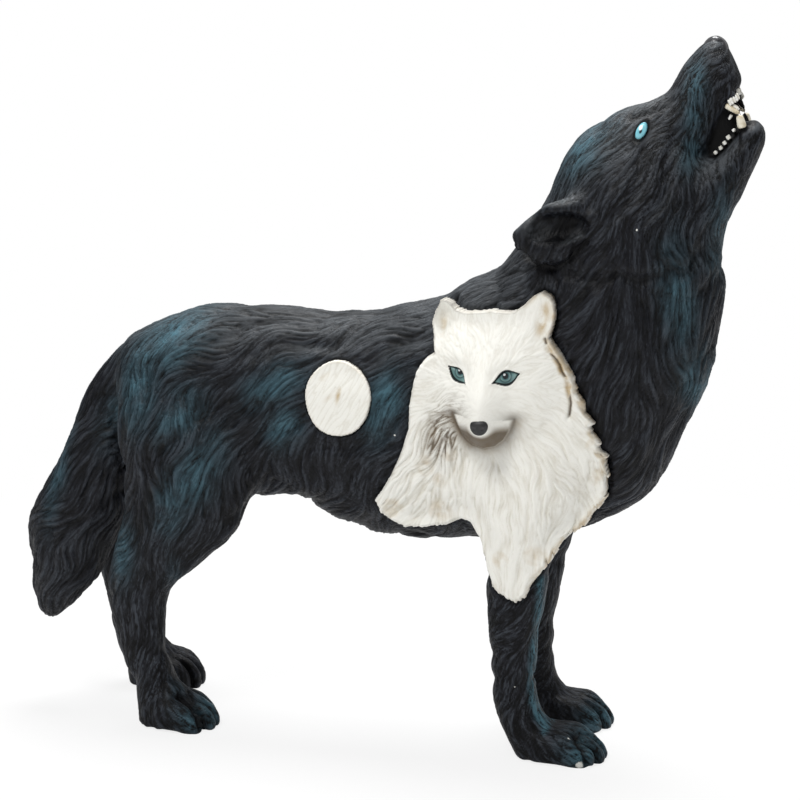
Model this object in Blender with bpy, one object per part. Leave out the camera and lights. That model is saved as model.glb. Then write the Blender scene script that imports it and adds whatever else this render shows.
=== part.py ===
"""Howling wolf figurine, cast in one piece of resin, with a white wolf's bust and a full moon in relief on its right flank.

The wolf looks along +X, its right flank faces -Y and it stands on four flat soles at z = 0.
Stations and outlines are in millimetres in the sculptor's frame, whose y = 0 is the wolf's own middle plane.
The finished figure is moved so that its origin lies under the middle of its box.
"""

import math

import bmesh
import bpy
import numpy as np
from mathutils import Vector
from mathutils.bvhtree import BVHTree

MM = 0.001

# The finished figure's own size; the stations below give its form and are fitted to it
LENGTH = 187.0
WIDTH = 57.0
HEIGHT = 171.5

# How fine the figure is modelled
VOXEL = 0.9
BODY_TRIANGLES = 8200
RING_SIDES = 28
STATION_STEPS = 6
SMOOTHING_PASSES = 8
RELIEF_CELL = 1.7

# Stance: how far each leg stands out from the middle plane, and how far back the left ones are set
RIGHT_LEG_OUT = 14.0
LEFT_FORE_LEG_OUT = 12.5
LEFT_HIND_LEG_OUT = 18.0
LEFT_FORE_LEG_BACK = 0.5
LEFT_HIND_LEG_BACK = 15.5

# Paws: where the toes start behind their tips, and how far they reach
FORE_HEEL_X = 45.0
HIND_HEEL_X = -51.0
FORE_TOE_LENGTH = 16.5
LEFT_FORE_TOE_LENGTH = 14.0
HIND_TOE_LENGTH = 14.0
TOE_PITCH = 3.7
TOE_HEIGHT = 7.9
TOE_HALF_WIDTH = 2.4
LEFT_HIND_TOES_RAISED = 1.5

# Ears of the howling wolf
EAR_OUT = 15.5
EAR_CUP_DEPTH = 3.6

# How far each side of the mouth is sunk, and how much is left of it at the middle plane
MOUTH_SINK = 4.0
MOUTH_CORE = 2.6

# Relief on the right flank
BUST_BACK = 9.0
BUST_PROUD = 1.9
MOON_X, MOON_Z = -4.3, 86.0
MOON_HALF_WIDTH, MOON_HALF_HEIGHT = 8.2, 8.9
MOON_PROUD = 0.7
MOON_BACK = 8.0

# Carving of the coat into locks of hair
LOCK_PITCH = 6.5
LOCK_DEPTH = 0.78
MANE_SPAN = (8.0, 40.0)
MANE_LEVEL = 100.0
MUZZLE_SPAN = (219.0, 227.0)
PAW_SPAN = (12.0, 6.0)
NECK_PIVOT = (26.0, 84.0)
THIGH_PIVOT = (-34.0, 74.0)
ELBOW_PIVOT = (40.0, 55.0)
TAIL_PIVOT = (-67.0, 78.0)

# Fangs: root, tip and radius at the root on the right side; the left ones mirror them
FANGS = [
    ((85.4, -4.6, 159.2), (88.6, -4.9, 154.2), 1.7),
    ((89.4, -4.2, 149.6), (88.4, -4.5, 154.0), 1.6),
]

# Each rib: (x, z) on the upper or rear outline, (x, z) on the lower or front outline, half width
TRUNK = [
    ((-67.0, 93.0), (-65.0, 75.0), 6.5),
    ((-60.5, 99.0), (-60.0, 62.0), 14.0),
    ((-46.0, 104.8), (-46.0, 55.0), 17.5),
    ((-32.0, 106.0), (-32.5, 56.0), 17.5),
    ((-19.0, 105.5), (-19.5, 57.0), 17.5),
    ((-6.0, 105.0), (-6.5, 51.0), 18.5),
    ((6.5, 107.0), (6.5, 48.5), 20.0),
    ((16.5, 109.2), (18.0, 48.8), 21.0),
    ((23.0, 113.2), (32.0, 50.0), 21.5),
    ((28.5, 115.8), (47.0, 52.0), 21.5),
    ((31.5, 117.5), (60.0, 56.5), 21.5),
    ((33.5, 119.5), (71.0, 65.0), 21.0),
    ((35.0, 121.5), (76.0, 76.5), 20.5),
    ((36.0, 123.0), (80.5, 86.0), 20.0),
    ((37.5, 125.0), (83.5, 94.0), 19.5),
    ((39.0, 127.5), (84.5, 102.0), 19.0),
    ((41.0, 131.0), (85.5, 110.5), 19.0),
    ((43.5, 136.0), (86.0, 116.5), 19.0),
    ((46.0, 142.5), (85.0, 122.0), 18.5),
    ((50.5, 148.5), (86.0, 126.5), 17.0),
    ((56.5, 153.0), (87.5, 130.5), 14.5),
    ((62.0, 155.4), (84.5, 137.5), 12.5),
    ((66.0, 156.4), (79.6, 144.4), 10.0),
]
MUZZLE = [
    ((66.0, 156.5), (80.2, 144.6), 10.4),
    ((71.0, 158.5), (82.8, 151.0), 9.0),
    ((74.0, 164.0), (85.4, 156.2), 7.8),
    ((76.0, 167.0), (88.3, 160.3), 6.8),
    ((78.0, 168.8), (87.5, 163.6), 6.1),
    ((79.5, 170.5), (86.0, 166.5), 5.1),
    ((81.0, 171.5), (85.0, 169.0), 3.9),
    ((82.5, 171.8), (84.0, 170.6), 2.0),
]
JAW = [
    ((75.5, 142.5), (87.0, 128.5), 11.5),
    ((82.5, 144.0), (89.6, 136.6), 8.8),
    ((86.8, 148.0), (91.8, 142.0), 7.0),
    ((88.6, 150.4), (93.6, 146.0), 6.0),
    ((90.0, 152.4), (94.2, 148.8), 4.8),
    ((91.2, 153.2), (93.4, 151.2), 2.8),
]
INNER_MOUTH = [
    ((74.0, 152.0), (79.0, 140.0), 3.6),
    ((80.0, 155.0), (85.5, 143.5), 3.0),
    ((83.5, 158.5), (88.0, 147.5), 2.6),
    ((85.0, 159.8), (89.0, 150.0), 2.0),
]
MOUTH_SIDE = [
    (81.3, 143.8), (80.9, 146.8), (82.2, 150.2), (84.4, 155.0), (86.2, 156.9), (88.6, 158.0),
    (91.0, 157.0), (91.0, 151.2), (88.6, 149.6), (86.0, 146.4), (83.4, 143.8),
]
TAIL = [
    ((-67.0, 94.5), (-57.0, 89.0), 5.0),
    ((-73.5, 86.5), (-61.0, 82.0), 6.0),
    ((-77.0, 80.5), (-62.5, 74.5), 7.0),
    ((-80.5, 73.0), (-63.5, 67.5), 8.0),
    ((-85.5, 62.0), (-64.5, 56.5), 9.0),
    ((-90.0, 55.0), (-66.0, 49.5), 9.5),
    ((-93.0, 48.0), (-69.5, 42.0), 9.5),
    ((-93.5, 41.5), (-73.6, 33.0), 8.8),
    ((-92.5, 32.5), (-79.8, 26.4), 6.8),
    ((-92.0, 26.0), (-85.0, 21.5), 4.3),
    ((-90.0, 22.0), (-87.5, 20.5), 1.8),
]
# Legs add how far the rib lies inside the leg's own line, because hips and shoulders lean in
FORE_LEG = [
    ((31.0, 82.0), (58.0, 86.0), 8.0, 4.0),
    ((30.0, 74.0), (60.5, 77.0), 9.5, 2.8),
    ((29.5, 63.0), (57.0, 64.0), 9.0, 2.0),
    ((30.0, 54.5), (52.5, 56.0), 7.8, 1.0),
    ((31.0, 47.5), (48.5, 48.5), 6.9, 0.4),
    ((31.5, 37.5), (46.0, 38.5), 6.1, 0.0),
    ((32.5, 28.0), (44.5, 28.5), 5.6, 0.0),
    ((33.0, 18.0), (44.0, 18.5), 5.4, 0.0),
    ((33.5, 13.0), (44.5, 12.5), 5.6, 0.0),
    ((35.5, 7.5), (47.5, 8.0), 6.3, 0.0),
    ((38.5, 2.0), (51.0, 3.0), 7.0, 0.0),
    ((40.0, -1.5), (52.0, -1.5), 7.0, 0.0),
]
HIND_LEG = [
    ((-62.0, 90.0), (-30.0, 90.0), 8.5, 7.5),
    ((-64.5, 80.0), (-25.5, 80.0), 10.5, 5.0),
    ((-63.5, 70.0), (-25.0, 72.0), 10.8, 4.0),
    ((-62.0, 60.0), (-27.0, 60.0), 9.8, 3.0),
    ((-63.0, 50.0), (-32.0, 50.0), 8.3, 2.0),
    ((-65.5, 41.0), (-41.0, 41.5), 6.9, 1.0),
    ((-66.0, 34.0), (-49.0, 34.5), 5.8, 0.4),
    ((-65.0, 26.5), (-50.5, 27.5), 5.2, 0.0),
    ((-63.0, 19.0), (-50.5, 20.0), 5.0, 0.0),
    ((-60.5, 13.0), (-48.5, 14.0), 5.2, 0.0),
    ((-58.5, 8.0), (-45.0, 9.0), 5.9, 0.0),
    ((-58.0, 3.0), (-43.0, 4.0), 6.6, 0.0),
    ((-58.0, -1.5), (-43.0, -1.5), 6.6, 0.0),
]
# The ear adds how far its rib lies out beyond the ear's root
EAR = [
    ((61.0, 138.0), (58.0, 125.0), 3.0, -4.0),
    ((55.0, 136.5), (54.5, 121.5), 4.0, -0.6),
    ((49.0, 135.0), (49.5, 118.8), 4.4, 1.5),
    ((44.0, 132.2), (43.5, 118.8), 3.8, 2.2),
    ((40.0, 128.4), (39.6, 121.3), 2.5, 2.0),
    ((37.4, 126.2), (37.4, 124.4), 0.9, 1.6),
]
EAR_CUP = ((45.0, 129.2), (52.5, 128.6), 3.7)

# The bust's outline in the x-z plane, clockwise from its left point, with the tufts of its ruff
BUST_OUTLINE = [
    (4.5, 61.0), (7.0, 63.5), (8.5, 67.0), (11.0, 72.0), (13.0, 76.0), (14.5, 79.5), (14.5, 84.0),
    (15.0, 88.5), (16.0, 93.0), (17.5, 95.5), (20.5, 98.0), (20.0, 102.0), (19.5, 106.0), (20.5, 109.0),
    (22.5, 110.5), (24.0, 109.0), (25.5, 107.5), (28.5, 107.0), (33.5, 108.5), (38.5, 108.0),
    (41.0, 109.0), (43.0, 111.5), (45.5, 113.0), (47.0, 112.0), (48.5, 109.0), (48.5, 107.0),
    (47.5, 104.5), (47.0, 103.0), (49.5, 101.0), (51.5, 97.0), (53.5, 93.5), (54.5, 89.0), (56.5, 85.0),
    (57.0, 83.5), (58.0, 82.5), (58.0, 81.0), (59.5, 78.5), (59.0, 77.0), (60.5, 75.5), (60.5, 72.0),
    (61.0, 69.0), (60.0, 65.0), (59.5, 61.0), (56.5, 59.5), (54.5, 58.0), (52.5, 56.0), (50.5, 54.0),
    (48.5, 50.5), (46.0, 47.0), (44.0, 44.0), (42.5, 41.0), (39.5, 39.0), (36.0, 41.0), (34.5, 43.0),
    (33.0, 46.5), (32.5, 50.0), (31.0, 52.5), (28.5, 55.0), (27.0, 58.5), (24.5, 56.5), (20.0, 55.5),
    (15.0, 54.5), (10.0, 54.5), (6.5, 57.0), (5.0, 59.5),
]
BUST_EDGE_ROUND = 1.2
NOSE = (33.4, 83.0)
BROW = (32.9, 94.5)
BUST_EYES = ((27.0, 94.2), (38.7, 94.0))


def new_object(name, mesh, collection=None):
    """A mesh object in the scene's own collection."""
    obj = bpy.data.objects.new(name, mesh)
    (collection or bpy.context.scene.collection).objects.link(obj)
    return obj


def curve_between(values, steps):
    """Rows of numbers carried through by a Catmull-Rom curve, with steps rows to each gap."""
    rows = np.array(values, float)
    padded = np.vstack([2 * rows[0] - rows[1], rows, 2 * rows[-1] - rows[-2]])
    out = []
    for i in range(1, len(padded) - 2):
        before, start, end, after = padded[i - 1 : i + 3]
        for t in np.arange(steps) / steps:
            out.append(
                0.5
                * (
                    2 * start
                    + (end - before) * t
                    + (2 * before - 5 * start + 4 * end - after) * t**2
                    + (3 * start - before - 3 * end + after) * t**3
                )
            )
    out.append(rows[-1])
    return out


def loft(name, ribs, egg=0.0, squareness=2.0):
    """A closed skin over ribs given as (x1, z1, x2, z2, half width, y); egg widens the first side."""
    rows = curve_between(ribs, STATION_STEPS)
    bm = bmesh.new()
    rings = []
    for x1, z1, x2, z2, half_width, y in rows:
        middle = np.array([(x1 + x2) / 2, (z1 + z2) / 2])
        reach = np.array([(x1 - x2) / 2, (z1 - z2) / 2])
        ring = []
        for i in range(RING_SIDES):
            turn = 2 * math.pi * i / RING_SIDES
            along = math.cos(turn)
            across = math.copysign(abs(math.sin(turn)) ** (2 / squareness), math.sin(turn))
            across *= 1 + egg * along
            x, z = middle + reach * along
            ring.append(bm.verts.new((x * MM, (y + half_width * across) * MM, z * MM)))
        rings.append(ring)
    for a, b in zip(rings, rings[1:]):
        for i in range(RING_SIDES):
            j = (i + 1) % RING_SIDES
            bm.faces.new((a[i], a[j], b[j], b[i]))
    bm.faces.new(rings[0][::-1])
    bm.faces.new(rings[-1])
    bmesh.ops.recalc_face_normals(bm, faces=bm.faces)
    mesh = bpy.data.meshes.new(name)
    bm.to_mesh(mesh)
    bm.free()
    return new_object(name, mesh)


def flat_ribs(ribs, y=0.0):
    """Ribs of a form on the middle plane, or at y."""
    return [(*first, *second, half_width, y) for first, second, half_width in ribs]


def side_ribs(ribs, side, out, back=0.0, back_below=0.0, back_above=1.0):
    """Ribs of a limb on one side (-1 right, +1 left); what lies below back_below is set back in full."""
    made = []
    for (x1, z1), (x2, z2), half_width, inward in ribs:
        height = (z1 + z2) / 2
        share = min(max((back_above - height) / (back_above - back_below), 0.0), 1.0)
        shift = back * share
        made.append((x1 - shift, z1, x2 - shift, z2, half_width, side * (out - inward)))
    return made


def toes(name, middle_y, heel_x, length, raised=0.0):
    """The four toes of a paw, the middle two longer, each an arched form with its groove beside it."""
    made = []
    for i, (place, longer) in enumerate(((-1.5, -2.2), (-0.5, 0.0), (0.5, 0.0), (1.5, -2.2))):
        y = middle_y + place * TOE_PITCH
        tip = length + longer
        ribs = [
            (heel_x + tip * share, TOE_HEIGHT * high + raised, heel_x + tip * share, low, wide, y)
            for share, high, low, wide in (
                (0.0, 0.9, -1.5, TOE_HALF_WIDTH * 0.9),
                (0.3, 1.0, -1.5, TOE_HALF_WIDTH),
                (0.6, 0.93, -1.5, TOE_HALF_WIDTH),
                (0.85, 0.62, -1.3, TOE_HALF_WIDTH * 0.9),
                (1.0, 0.3, -0.3, TOE_HALF_WIDTH * 0.55),
            )
        ]
        made.append(loft(f"{name}_toe_{i + 1}", ribs, squareness=2.4))
    return made


def rough_forms():
    """Every form of the wolf before they are melted into one skin."""
    forms = [
        loft("trunk", flat_ribs(TRUNK), egg=0.06, squareness=2.15),
        loft("muzzle", flat_ribs(MUZZLE), squareness=2.3),
        loft("jaw", flat_ribs(JAW), squareness=2.3),
        loft("inner_mouth", flat_ribs(INNER_MOUTH)),
        loft("tail", flat_ribs(TAIL)),
    ]
    right_fore = side_ribs(FORE_LEG, -1, RIGHT_LEG_OUT)
    left_fore = side_ribs(FORE_LEG, 1, LEFT_FORE_LEG_OUT, LEFT_FORE_LEG_BACK, 30.0, 60.0)
    right_hind = side_ribs(HIND_LEG, -1, RIGHT_LEG_OUT)
    left_hind = side_ribs(HIND_LEG, 1, LEFT_HIND_LEG_OUT, LEFT_HIND_LEG_BACK, 36.0, 75.0)
    for name, ribs in (
        ("right_fore_leg", right_fore),
        ("left_fore_leg", left_fore),
        ("right_hind_leg", right_hind),
        ("left_hind_leg", left_hind),
    ):
        forms.append(loft(name, ribs, squareness=2.1))
    left_fore_heel = FORE_HEEL_X - LEFT_FORE_LEG_BACK
    left_hind_heel = HIND_HEEL_X - LEFT_HIND_LEG_BACK
    forms += toes("right_fore", -RIGHT_LEG_OUT, FORE_HEEL_X, FORE_TOE_LENGTH)
    forms += toes("left_fore", LEFT_FORE_LEG_OUT, left_fore_heel, LEFT_FORE_TOE_LENGTH)
    forms += toes("right_hind", -RIGHT_LEG_OUT, HIND_HEEL_X, HIND_TOE_LENGTH)
    forms += toes("left_hind", LEFT_HIND_LEG_OUT, left_hind_heel, HIND_TOE_LENGTH, LEFT_HIND_TOES_RAISED)
    for side, name in ((-1, "right_ear"), (1, "left_ear")):
        ribs = [
            (*first, *second, half_width, side * (EAR_OUT + further))
            for first, second, half_width, further in EAR
        ]
        forms.append(loft(name, ribs))
    return forms


def melted(forms):
    """One skin over all the forms, from which the finer work starts."""
    bm = bmesh.new()
    for form in forms:
        bm.from_mesh(form.data)
        bpy.data.objects.remove(form)
    mesh = bpy.data.meshes.new("skin")
    bm.to_mesh(mesh)
    bm.free()
    skin = new_object("skin", mesh)
    remesh = skin.modifiers.new("melt", "REMESH")
    remesh.mode = "VOXEL"
    remesh.voxel_size = VOXEL * MM
    smooth = skin.modifiers.new("soften", "SMOOTH")
    smooth.factor = 0.5
    smooth.iterations = SMOOTHING_PASSES
    return finished(skin)


def finished(obj):
    """The object with its modifiers made real."""
    graph = bpy.context.evaluated_depsgraph_get()
    mesh = bpy.data.meshes.new_from_object(obj.evaluated_get(graph))
    obj.modifiers.clear()
    obj.data = mesh
    return obj


def points_of(mesh):
    """The mesh's points in millimetres, one row each."""
    points = np.empty(len(mesh.vertices) * 3)
    mesh.vertices.foreach_get("co", points)
    return points.reshape(-1, 3) / MM


def set_points(mesh, points):
    mesh.vertices.foreach_set("co", (points * MM).ravel())
    mesh.update()


def soft_step(value, low, high):
    t = np.clip((value - low) / (high - low), 0, 1)
    return t * t * (3 - 2 * t)


def distance_to_line(x, z, start, end):
    """Distance in the x-z plane from points to the stretch between start and end."""
    sx, sz = start
    dx, dz = end[0] - sx, end[1] - sz
    share = np.clip(((x - sx) * dx + (z - sz) * dz) / (dx * dx + dz * dz), 0, 1)
    return np.hypot(x - sx - share * dx, z - sz - share * dz)


def hollow_ears(skin):
    """Presses a cup into the outer face of each ear."""
    points = points_of(skin.data)
    start, end, radius = EAR_CUP
    x, y, z = points.T
    near = distance_to_line(x, z, start, end)
    depth = EAR_CUP_DEPTH * soft_step(near, radius, radius * 0.3)
    outside = soft_step(np.abs(y), EAR_OUT - 1.0, EAR_OUT + 1.5)
    points[:, 1] -= np.sign(y) * depth * outside
    set_points(skin.data, points)


def inside_by(outline, x, z):
    """How far points of the x-z plane lie inside a closed outline, less than zero outside it."""
    nearest = np.full(len(x), 1e9)
    inside = np.zeros(len(x), dtype=bool)
    for start, end in zip(outline, outline[1:] + outline[:1]):
        nearest = np.minimum(nearest, distance_to_line(x, z, start, end))
        if start[1] != end[1]:
            crossing = (end[0] - start[0]) * (z - start[1]) / (end[1] - start[1]) + start[0]
            inside ^= ((start[1] > z) != (end[1] > z)) & (x < crossing)
    return np.where(inside, nearest, -nearest)


def sink_mouth(skin):
    """Presses both sides of the open mouth in, so that it stands open from the side."""
    points = points_of(skin.data)
    x, y, z = points.T
    share = soft_step(inside_by(MOUTH_SIDE, x, z), 0.0, 1.0)
    reach = np.abs(y)
    points[:, 1] = np.sign(y) * np.maximum(reach - MOUTH_SINK * share, np.minimum(reach, MOUTH_CORE))
    set_points(skin.data, points)


def thinned(skin, triangles):
    """The skin with as many triangles as it is given."""
    faces = sum(len(face.vertices) - 2 for face in skin.data.polygons)
    thin = skin.modifiers.new("thin", "DECIMATE")
    thin.ratio = min(1.0, triangles / faces)
    return finished(skin)


def swept(x, z, share, pivot, degrees):
    """Turns points about a pivot, each by its own share of the angle."""
    turn = share * math.radians(degrees)
    dx, dz = x - pivot[0], z - pivot[1]
    return (
        pivot[0] + dx * np.cos(turn) + dz * np.sin(turn),
        pivot[1] + dz * np.cos(turn) - dx * np.sin(turn),
    )


def carve_locks(skin):
    """Cuts long shallow grooves between the locks of the coat, running the way the hair lies."""
    points = points_of(skin.data)
    normals = np.empty(len(skin.data.vertices) * 3)
    skin.data.vertices.foreach_get("normal", normals)
    x, y, z = points.T
    sweeps = (
        (soft_step(x + 0.5 * (z - MANE_LEVEL), *MANE_SPAN), NECK_PIVOT, 48.0),
        (soft_step(x, -18.0, -44.0) * soft_step(z, 96.0, 66.0), THIGH_PIVOT, 38.0),
        (soft_step(x, 10.0, 24.0) * soft_step(z, 66.0, 46.0), ELBOW_PIVOT, 27.0),
        (soft_step(x, -62.0, -72.0), TAIL_PIVOT, 12.0),
    )
    along, across = swept(x, z, 1.0, (0.0, 0.0), 18.0)
    for share, pivot, degrees in sweeps:
        px, pz = swept(np.array(pivot[0]), np.array(pivot[1]), 1.0, (0.0, 0.0), 18.0)
        along, across = swept(along, across, share, (px, pz), degrees)
    across = across + 1.6 * np.sin(along / 7.0 + y / 6.0) + 0.9 * np.sin(along / 3.3 + across / 5.0)
    ridge = np.abs(np.sin(np.pi * across / LOCK_PITCH)) ** 0.6
    strength = 1.1 + 0.9 * np.sin(along / 9.0 + across / 4.0)
    on_muzzle = soft_step(x + z, *MUZZLE_SPAN)
    on_paw = soft_step(z, *PAW_SPAN)
    cut = LOCK_DEPTH * strength * (1 - ridge) * (1 - on_muzzle) * (1 - on_paw)
    points -= normals.reshape(-1, 3) * cut[:, None]
    set_points(skin.data, points)


def bump(x, z, centre, half_width, half_height, sharp=1.0):
    """A rounded swelling, 1 at its centre and 0 at its edge."""
    reach = np.hypot((x - centre[0]) / half_width, (z - centre[1]) / half_height)
    return np.clip(1 - reach**2, 0, 1) ** sharp


def flank_out(skin_tree, x, z, spread=3.0):
    """How far the right flank stands from the middle plane, evened out over a small patch."""
    found = []
    for dx in (-spread, 0.0, spread):
        for dz in (-spread, 0.0, spread):
            start = Vector(((x + dx) * MM, -0.1, (z + dz) * MM))
            place = skin_tree.ray_cast(start, Vector((0, 1, 0)), 0.1)[0]
            if place:
                found.append(-place.y / MM)
    return sum(found) / len(found) if found else BUST_BACK


def bust_relief(x, z):
    """How far the bust's front stands out from the flank."""
    out = BUST_PROUD
    out += 1.2 * bump(x, z, (37.0, 64.0), 20.0, 17.0)
    out += 3.4 * bump(x, z, (BROW[0] + 0.5, BROW[1] - 1.5), 17.5, 18.0, 0.7)
    snout = distance_to_line(x, z, BROW, (NOSE[0], NOSE[1] - 0.5))
    along = soft_step(z, BROW[1] + 3.0, NOSE[1])
    out += (0.8 + 4.4 * along) * soft_step(snout, 7.4, 0.8)
    for eye in BUST_EYES:
        out -= 0.9 * bump(x, z, eye, 3.6, 2.6)
    under_chin = bump(x, z, (NOSE[0], NOSE[1] - 10.5), 10.0, 4.0)
    return out - 1.5 * under_chin


def bust(skin_tree):
    """The white wolf's bust as a slab whose front is its relief and whose back lies inside the body."""
    bm = bmesh.new()
    bm.faces.new([bm.verts.new((x * MM, 0, z * MM)) for x, z in BUST_OUTLINE])
    xs, zs = zip(*BUST_OUTLINE)
    for low, high, normal in ((min(xs), max(xs), (1, 0, 0)), (min(zs), max(zs), (0, 0, 1))):
        for place in np.arange(low + RELIEF_CELL / 2, high, RELIEF_CELL):
            bmesh.ops.bisect_plane(
                bm,
                geom=bm.verts[:] + bm.edges[:] + bm.faces[:],
                dist=1e-7,
                plane_co=Vector(normal) * place * MM,
                plane_no=normal,
            )
    bmesh.ops.dissolve_degenerate(bm, dist=0.15 * MM, edges=bm.edges)
    rim = {vert for edge in bm.edges if edge.is_boundary for vert in edge.verts}
    front = bm.verts[:]
    bmesh.ops.extrude_face_region(bm, geom=bm.faces[:])
    for vert in bm.verts[len(front) :]:
        vert.co.y = -BUST_BACK * MM
    for vert in front:
        x, z = vert.co.x / MM, vert.co.z / MM
        rounded = BUST_EDGE_ROUND if vert in rim else 0.0
        vert.co.y = -(flank_out(skin_tree, x, z) + float(bust_relief(x, z)) - rounded) * MM
    bmesh.ops.recalc_face_normals(bm, faces=bm.faces)
    mesh = bpy.data.meshes.new("bust")
    bm.to_mesh(mesh)
    bm.free()
    return new_object("bust", mesh)


def moon(skin_tree):
    """The full moon, a low disc that follows the flank."""
    bm = bmesh.new()
    circle = 32
    rings = []
    for share, sunk in ((0.35, 0.0), (0.7, 0.0), (0.93, 0.0), (1.0, MOON_PROUD * 0.45), (1.0, None)):
        ring = []
        for i in range(circle):
            turn = 2 * math.pi * i / circle
            x = MOON_X + MOON_HALF_WIDTH * share * math.cos(turn)
            z = MOON_Z + MOON_HALF_HEIGHT * share * math.sin(turn)
            out = MOON_BACK if sunk is None else flank_out(skin_tree, x, z) + MOON_PROUD - sunk
            ring.append(bm.verts.new((x * MM, -out * MM, z * MM)))
        rings.append(ring)
    for a, b in zip(rings, rings[1:]):
        for i in range(circle):
            j = (i + 1) % circle
            bm.faces.new((a[i], a[j], b[j], b[i]))
    bm.faces.new(rings[0])
    bm.faces.new(rings[-1][::-1])
    bmesh.ops.recalc_face_normals(bm, faces=bm.faces)
    mesh = bpy.data.meshes.new("moon")
    bm.to_mesh(mesh)
    bm.free()
    return new_object("moon", mesh)


def fangs():
    """The four fangs, each a cone that grows out of its jaw."""
    made = []
    for number, (root, tip, radius) in enumerate(FANGS):
        for side in (1, -1):
            start = Vector((root[0], root[1] * side, root[2])) * MM
            end = Vector((tip[0], tip[1] * side, tip[2])) * MM
            reach = end - start
            bm = bmesh.new()
            bmesh.ops.create_cone(
                bm,
                cap_ends=True,
                segments=10,
                radius1=radius * MM,
                radius2=radius * 0.3 * MM,
                depth=reach.length * 1.6,
            )
            turn = reach.to_track_quat("Z", "Y").to_matrix()
            bmesh.ops.transform(bm, matrix=turn.to_4x4(), verts=bm.verts)
            bmesh.ops.translate(bm, vec=end - reach * 0.8, verts=bm.verts)
            mesh = bpy.data.meshes.new("fang")
            bm.to_mesh(mesh)
            bm.free()
            made.append(new_object(f"fang_{number}_{side}", mesh))
    return made


def united(skin, parts):
    """The skin with each part joined to it, so that the casting is one solid."""
    for part in parts:
        part.hide_render = True
        part.display_type = "WIRE"
        union = skin.modifiers.new(part.name, "BOOLEAN")
        union.operation = "UNION"
        union.object = part
    finished(skin)
    for part in parts:
        bpy.data.objects.remove(part)
    return skin


def stood_on_soles(skin):
    """Cuts the paws flat at z = 0."""
    bm = bmesh.new()
    bm.from_mesh(skin.data)
    cut = bmesh.ops.bisect_plane(
        bm,
        geom=bm.verts[:] + bm.edges[:] + bm.faces[:],
        dist=1e-7,
        plane_co=(0, 0, 0),
        plane_no=(0, 0, 1),
        clear_inner=True,
    )
    edges = [item for item in cut["geom_cut"] if isinstance(item, bmesh.types.BMEdge)]
    bmesh.ops.edgeloop_fill(bm, edges=edges)
    bmesh.ops.triangulate(bm, faces=bm.faces)
    bmesh.ops.recalc_face_normals(bm, faces=bm.faces)
    bm.to_mesh(skin.data)
    bm.free()


def fitted_to_size(skin):
    """Brings the figure to its stated size, with the origin under the middle of its box."""
    points = points_of(skin.data)
    low, high = points.min(0), points.max(0)
    points[:, :2] -= ((low + high) / 2)[:2]
    set_points(skin.data, points * (LENGTH, WIDTH, HEIGHT) / (high - low))


def painted(obj, name, colour, roughness):
    material = bpy.data.materials.new(name)
    material.use_nodes = True
    shader = material.node_tree.nodes["Principled BSDF"]
    shader.inputs["Base Color"].default_value = (*colour, 1)
    shader.inputs["Roughness"].default_value = roughness
    shader.inputs["Metallic"].default_value = 0.0
    obj.data.materials.clear()
    obj.data.materials.append(material)


def main():
    for obj in list(bpy.data.objects):
        bpy.data.objects.remove(obj)
    skin = melted(rough_forms())
    hollow_ears(skin)
    carve_locks(skin)
    sink_mouth(skin)
    skin_tree = BVHTree.FromObject(skin, bpy.context.evaluated_depsgraph_get())
    relief = [bust(skin_tree), moon(skin_tree)]
    thinned(skin, BODY_TRIANGLES)
    united(skin, relief + fangs())
    stood_on_soles(skin)
    fitted_to_size(skin)
    skin.name = "wolf_figurine"
    skin.data.name = "wolf_figurine"
    skin.data.shade_smooth()
    painted(skin, "black_coat", (0.02, 0.022, 0.026), 0.75)


main()
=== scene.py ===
from math import cos, radians, sin

import bmesh
import bpy
import numpy as np
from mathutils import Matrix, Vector
from mathutils.bvhtree import BVHTree


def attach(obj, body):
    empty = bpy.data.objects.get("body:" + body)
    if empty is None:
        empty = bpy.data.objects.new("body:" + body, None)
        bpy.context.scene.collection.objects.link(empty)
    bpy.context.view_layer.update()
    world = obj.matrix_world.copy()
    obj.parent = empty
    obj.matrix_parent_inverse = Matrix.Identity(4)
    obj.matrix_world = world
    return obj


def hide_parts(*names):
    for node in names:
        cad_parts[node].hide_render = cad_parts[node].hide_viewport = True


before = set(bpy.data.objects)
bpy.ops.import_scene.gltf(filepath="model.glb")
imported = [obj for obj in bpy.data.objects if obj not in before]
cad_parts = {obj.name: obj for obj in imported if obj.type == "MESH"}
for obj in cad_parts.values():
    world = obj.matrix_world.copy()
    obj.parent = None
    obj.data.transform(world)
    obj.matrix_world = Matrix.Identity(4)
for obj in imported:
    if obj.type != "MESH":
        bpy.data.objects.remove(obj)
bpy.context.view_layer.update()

mm = 0.001
noise = np.random.default_rng(11)


# small tools

def pickNothing():
    bpy.ops.object.select_all(action="DESELECT")


def pickOnly(piece):
    pickNothing()
    piece.select_set(True)
    bpy.context.view_layer.objects.active = piece


def addModifier(piece, kind, **settings):
    # adds one modifier and applies it at once
    pickOnly(piece)
    modifier = piece.modifiers.new(kind.lower(), kind)
    for name, value in settings.items():
        setattr(modifier, name, value)
    bpy.ops.object.modifier_apply(modifier=modifier.name)


def vertexArray(mesh, field="co"):
    values = np.empty(len(mesh.vertices) * 3, np.float32)
    if field == "co":
        mesh.vertices.foreach_get("co", values)
    else:
        mesh.vertex_normals.foreach_get("vector", values)
    return values.reshape(-1, 3)


def writeAttribute(mesh, name, values):
    layer = mesh.attributes.new(name, "FLOAT", "POINT")
    layer.data.foreach_set("value", np.ascontiguousarray(values, np.float32))


def softStep(value, start, end):
    share = np.clip((value - start) / (end - start), 0.0, 1.0)
    return share * share * (3.0 - 2.0 * share)


# noise combed along the fur

def blurred(values, passes):
    # softens a block along its first three axes
    for _ in range(passes):
        for axis in range(3):
            values = (np.roll(values, 1, axis) + np.roll(values, -1, axis) + 2.0 * values) * 0.25
    return values


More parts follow.
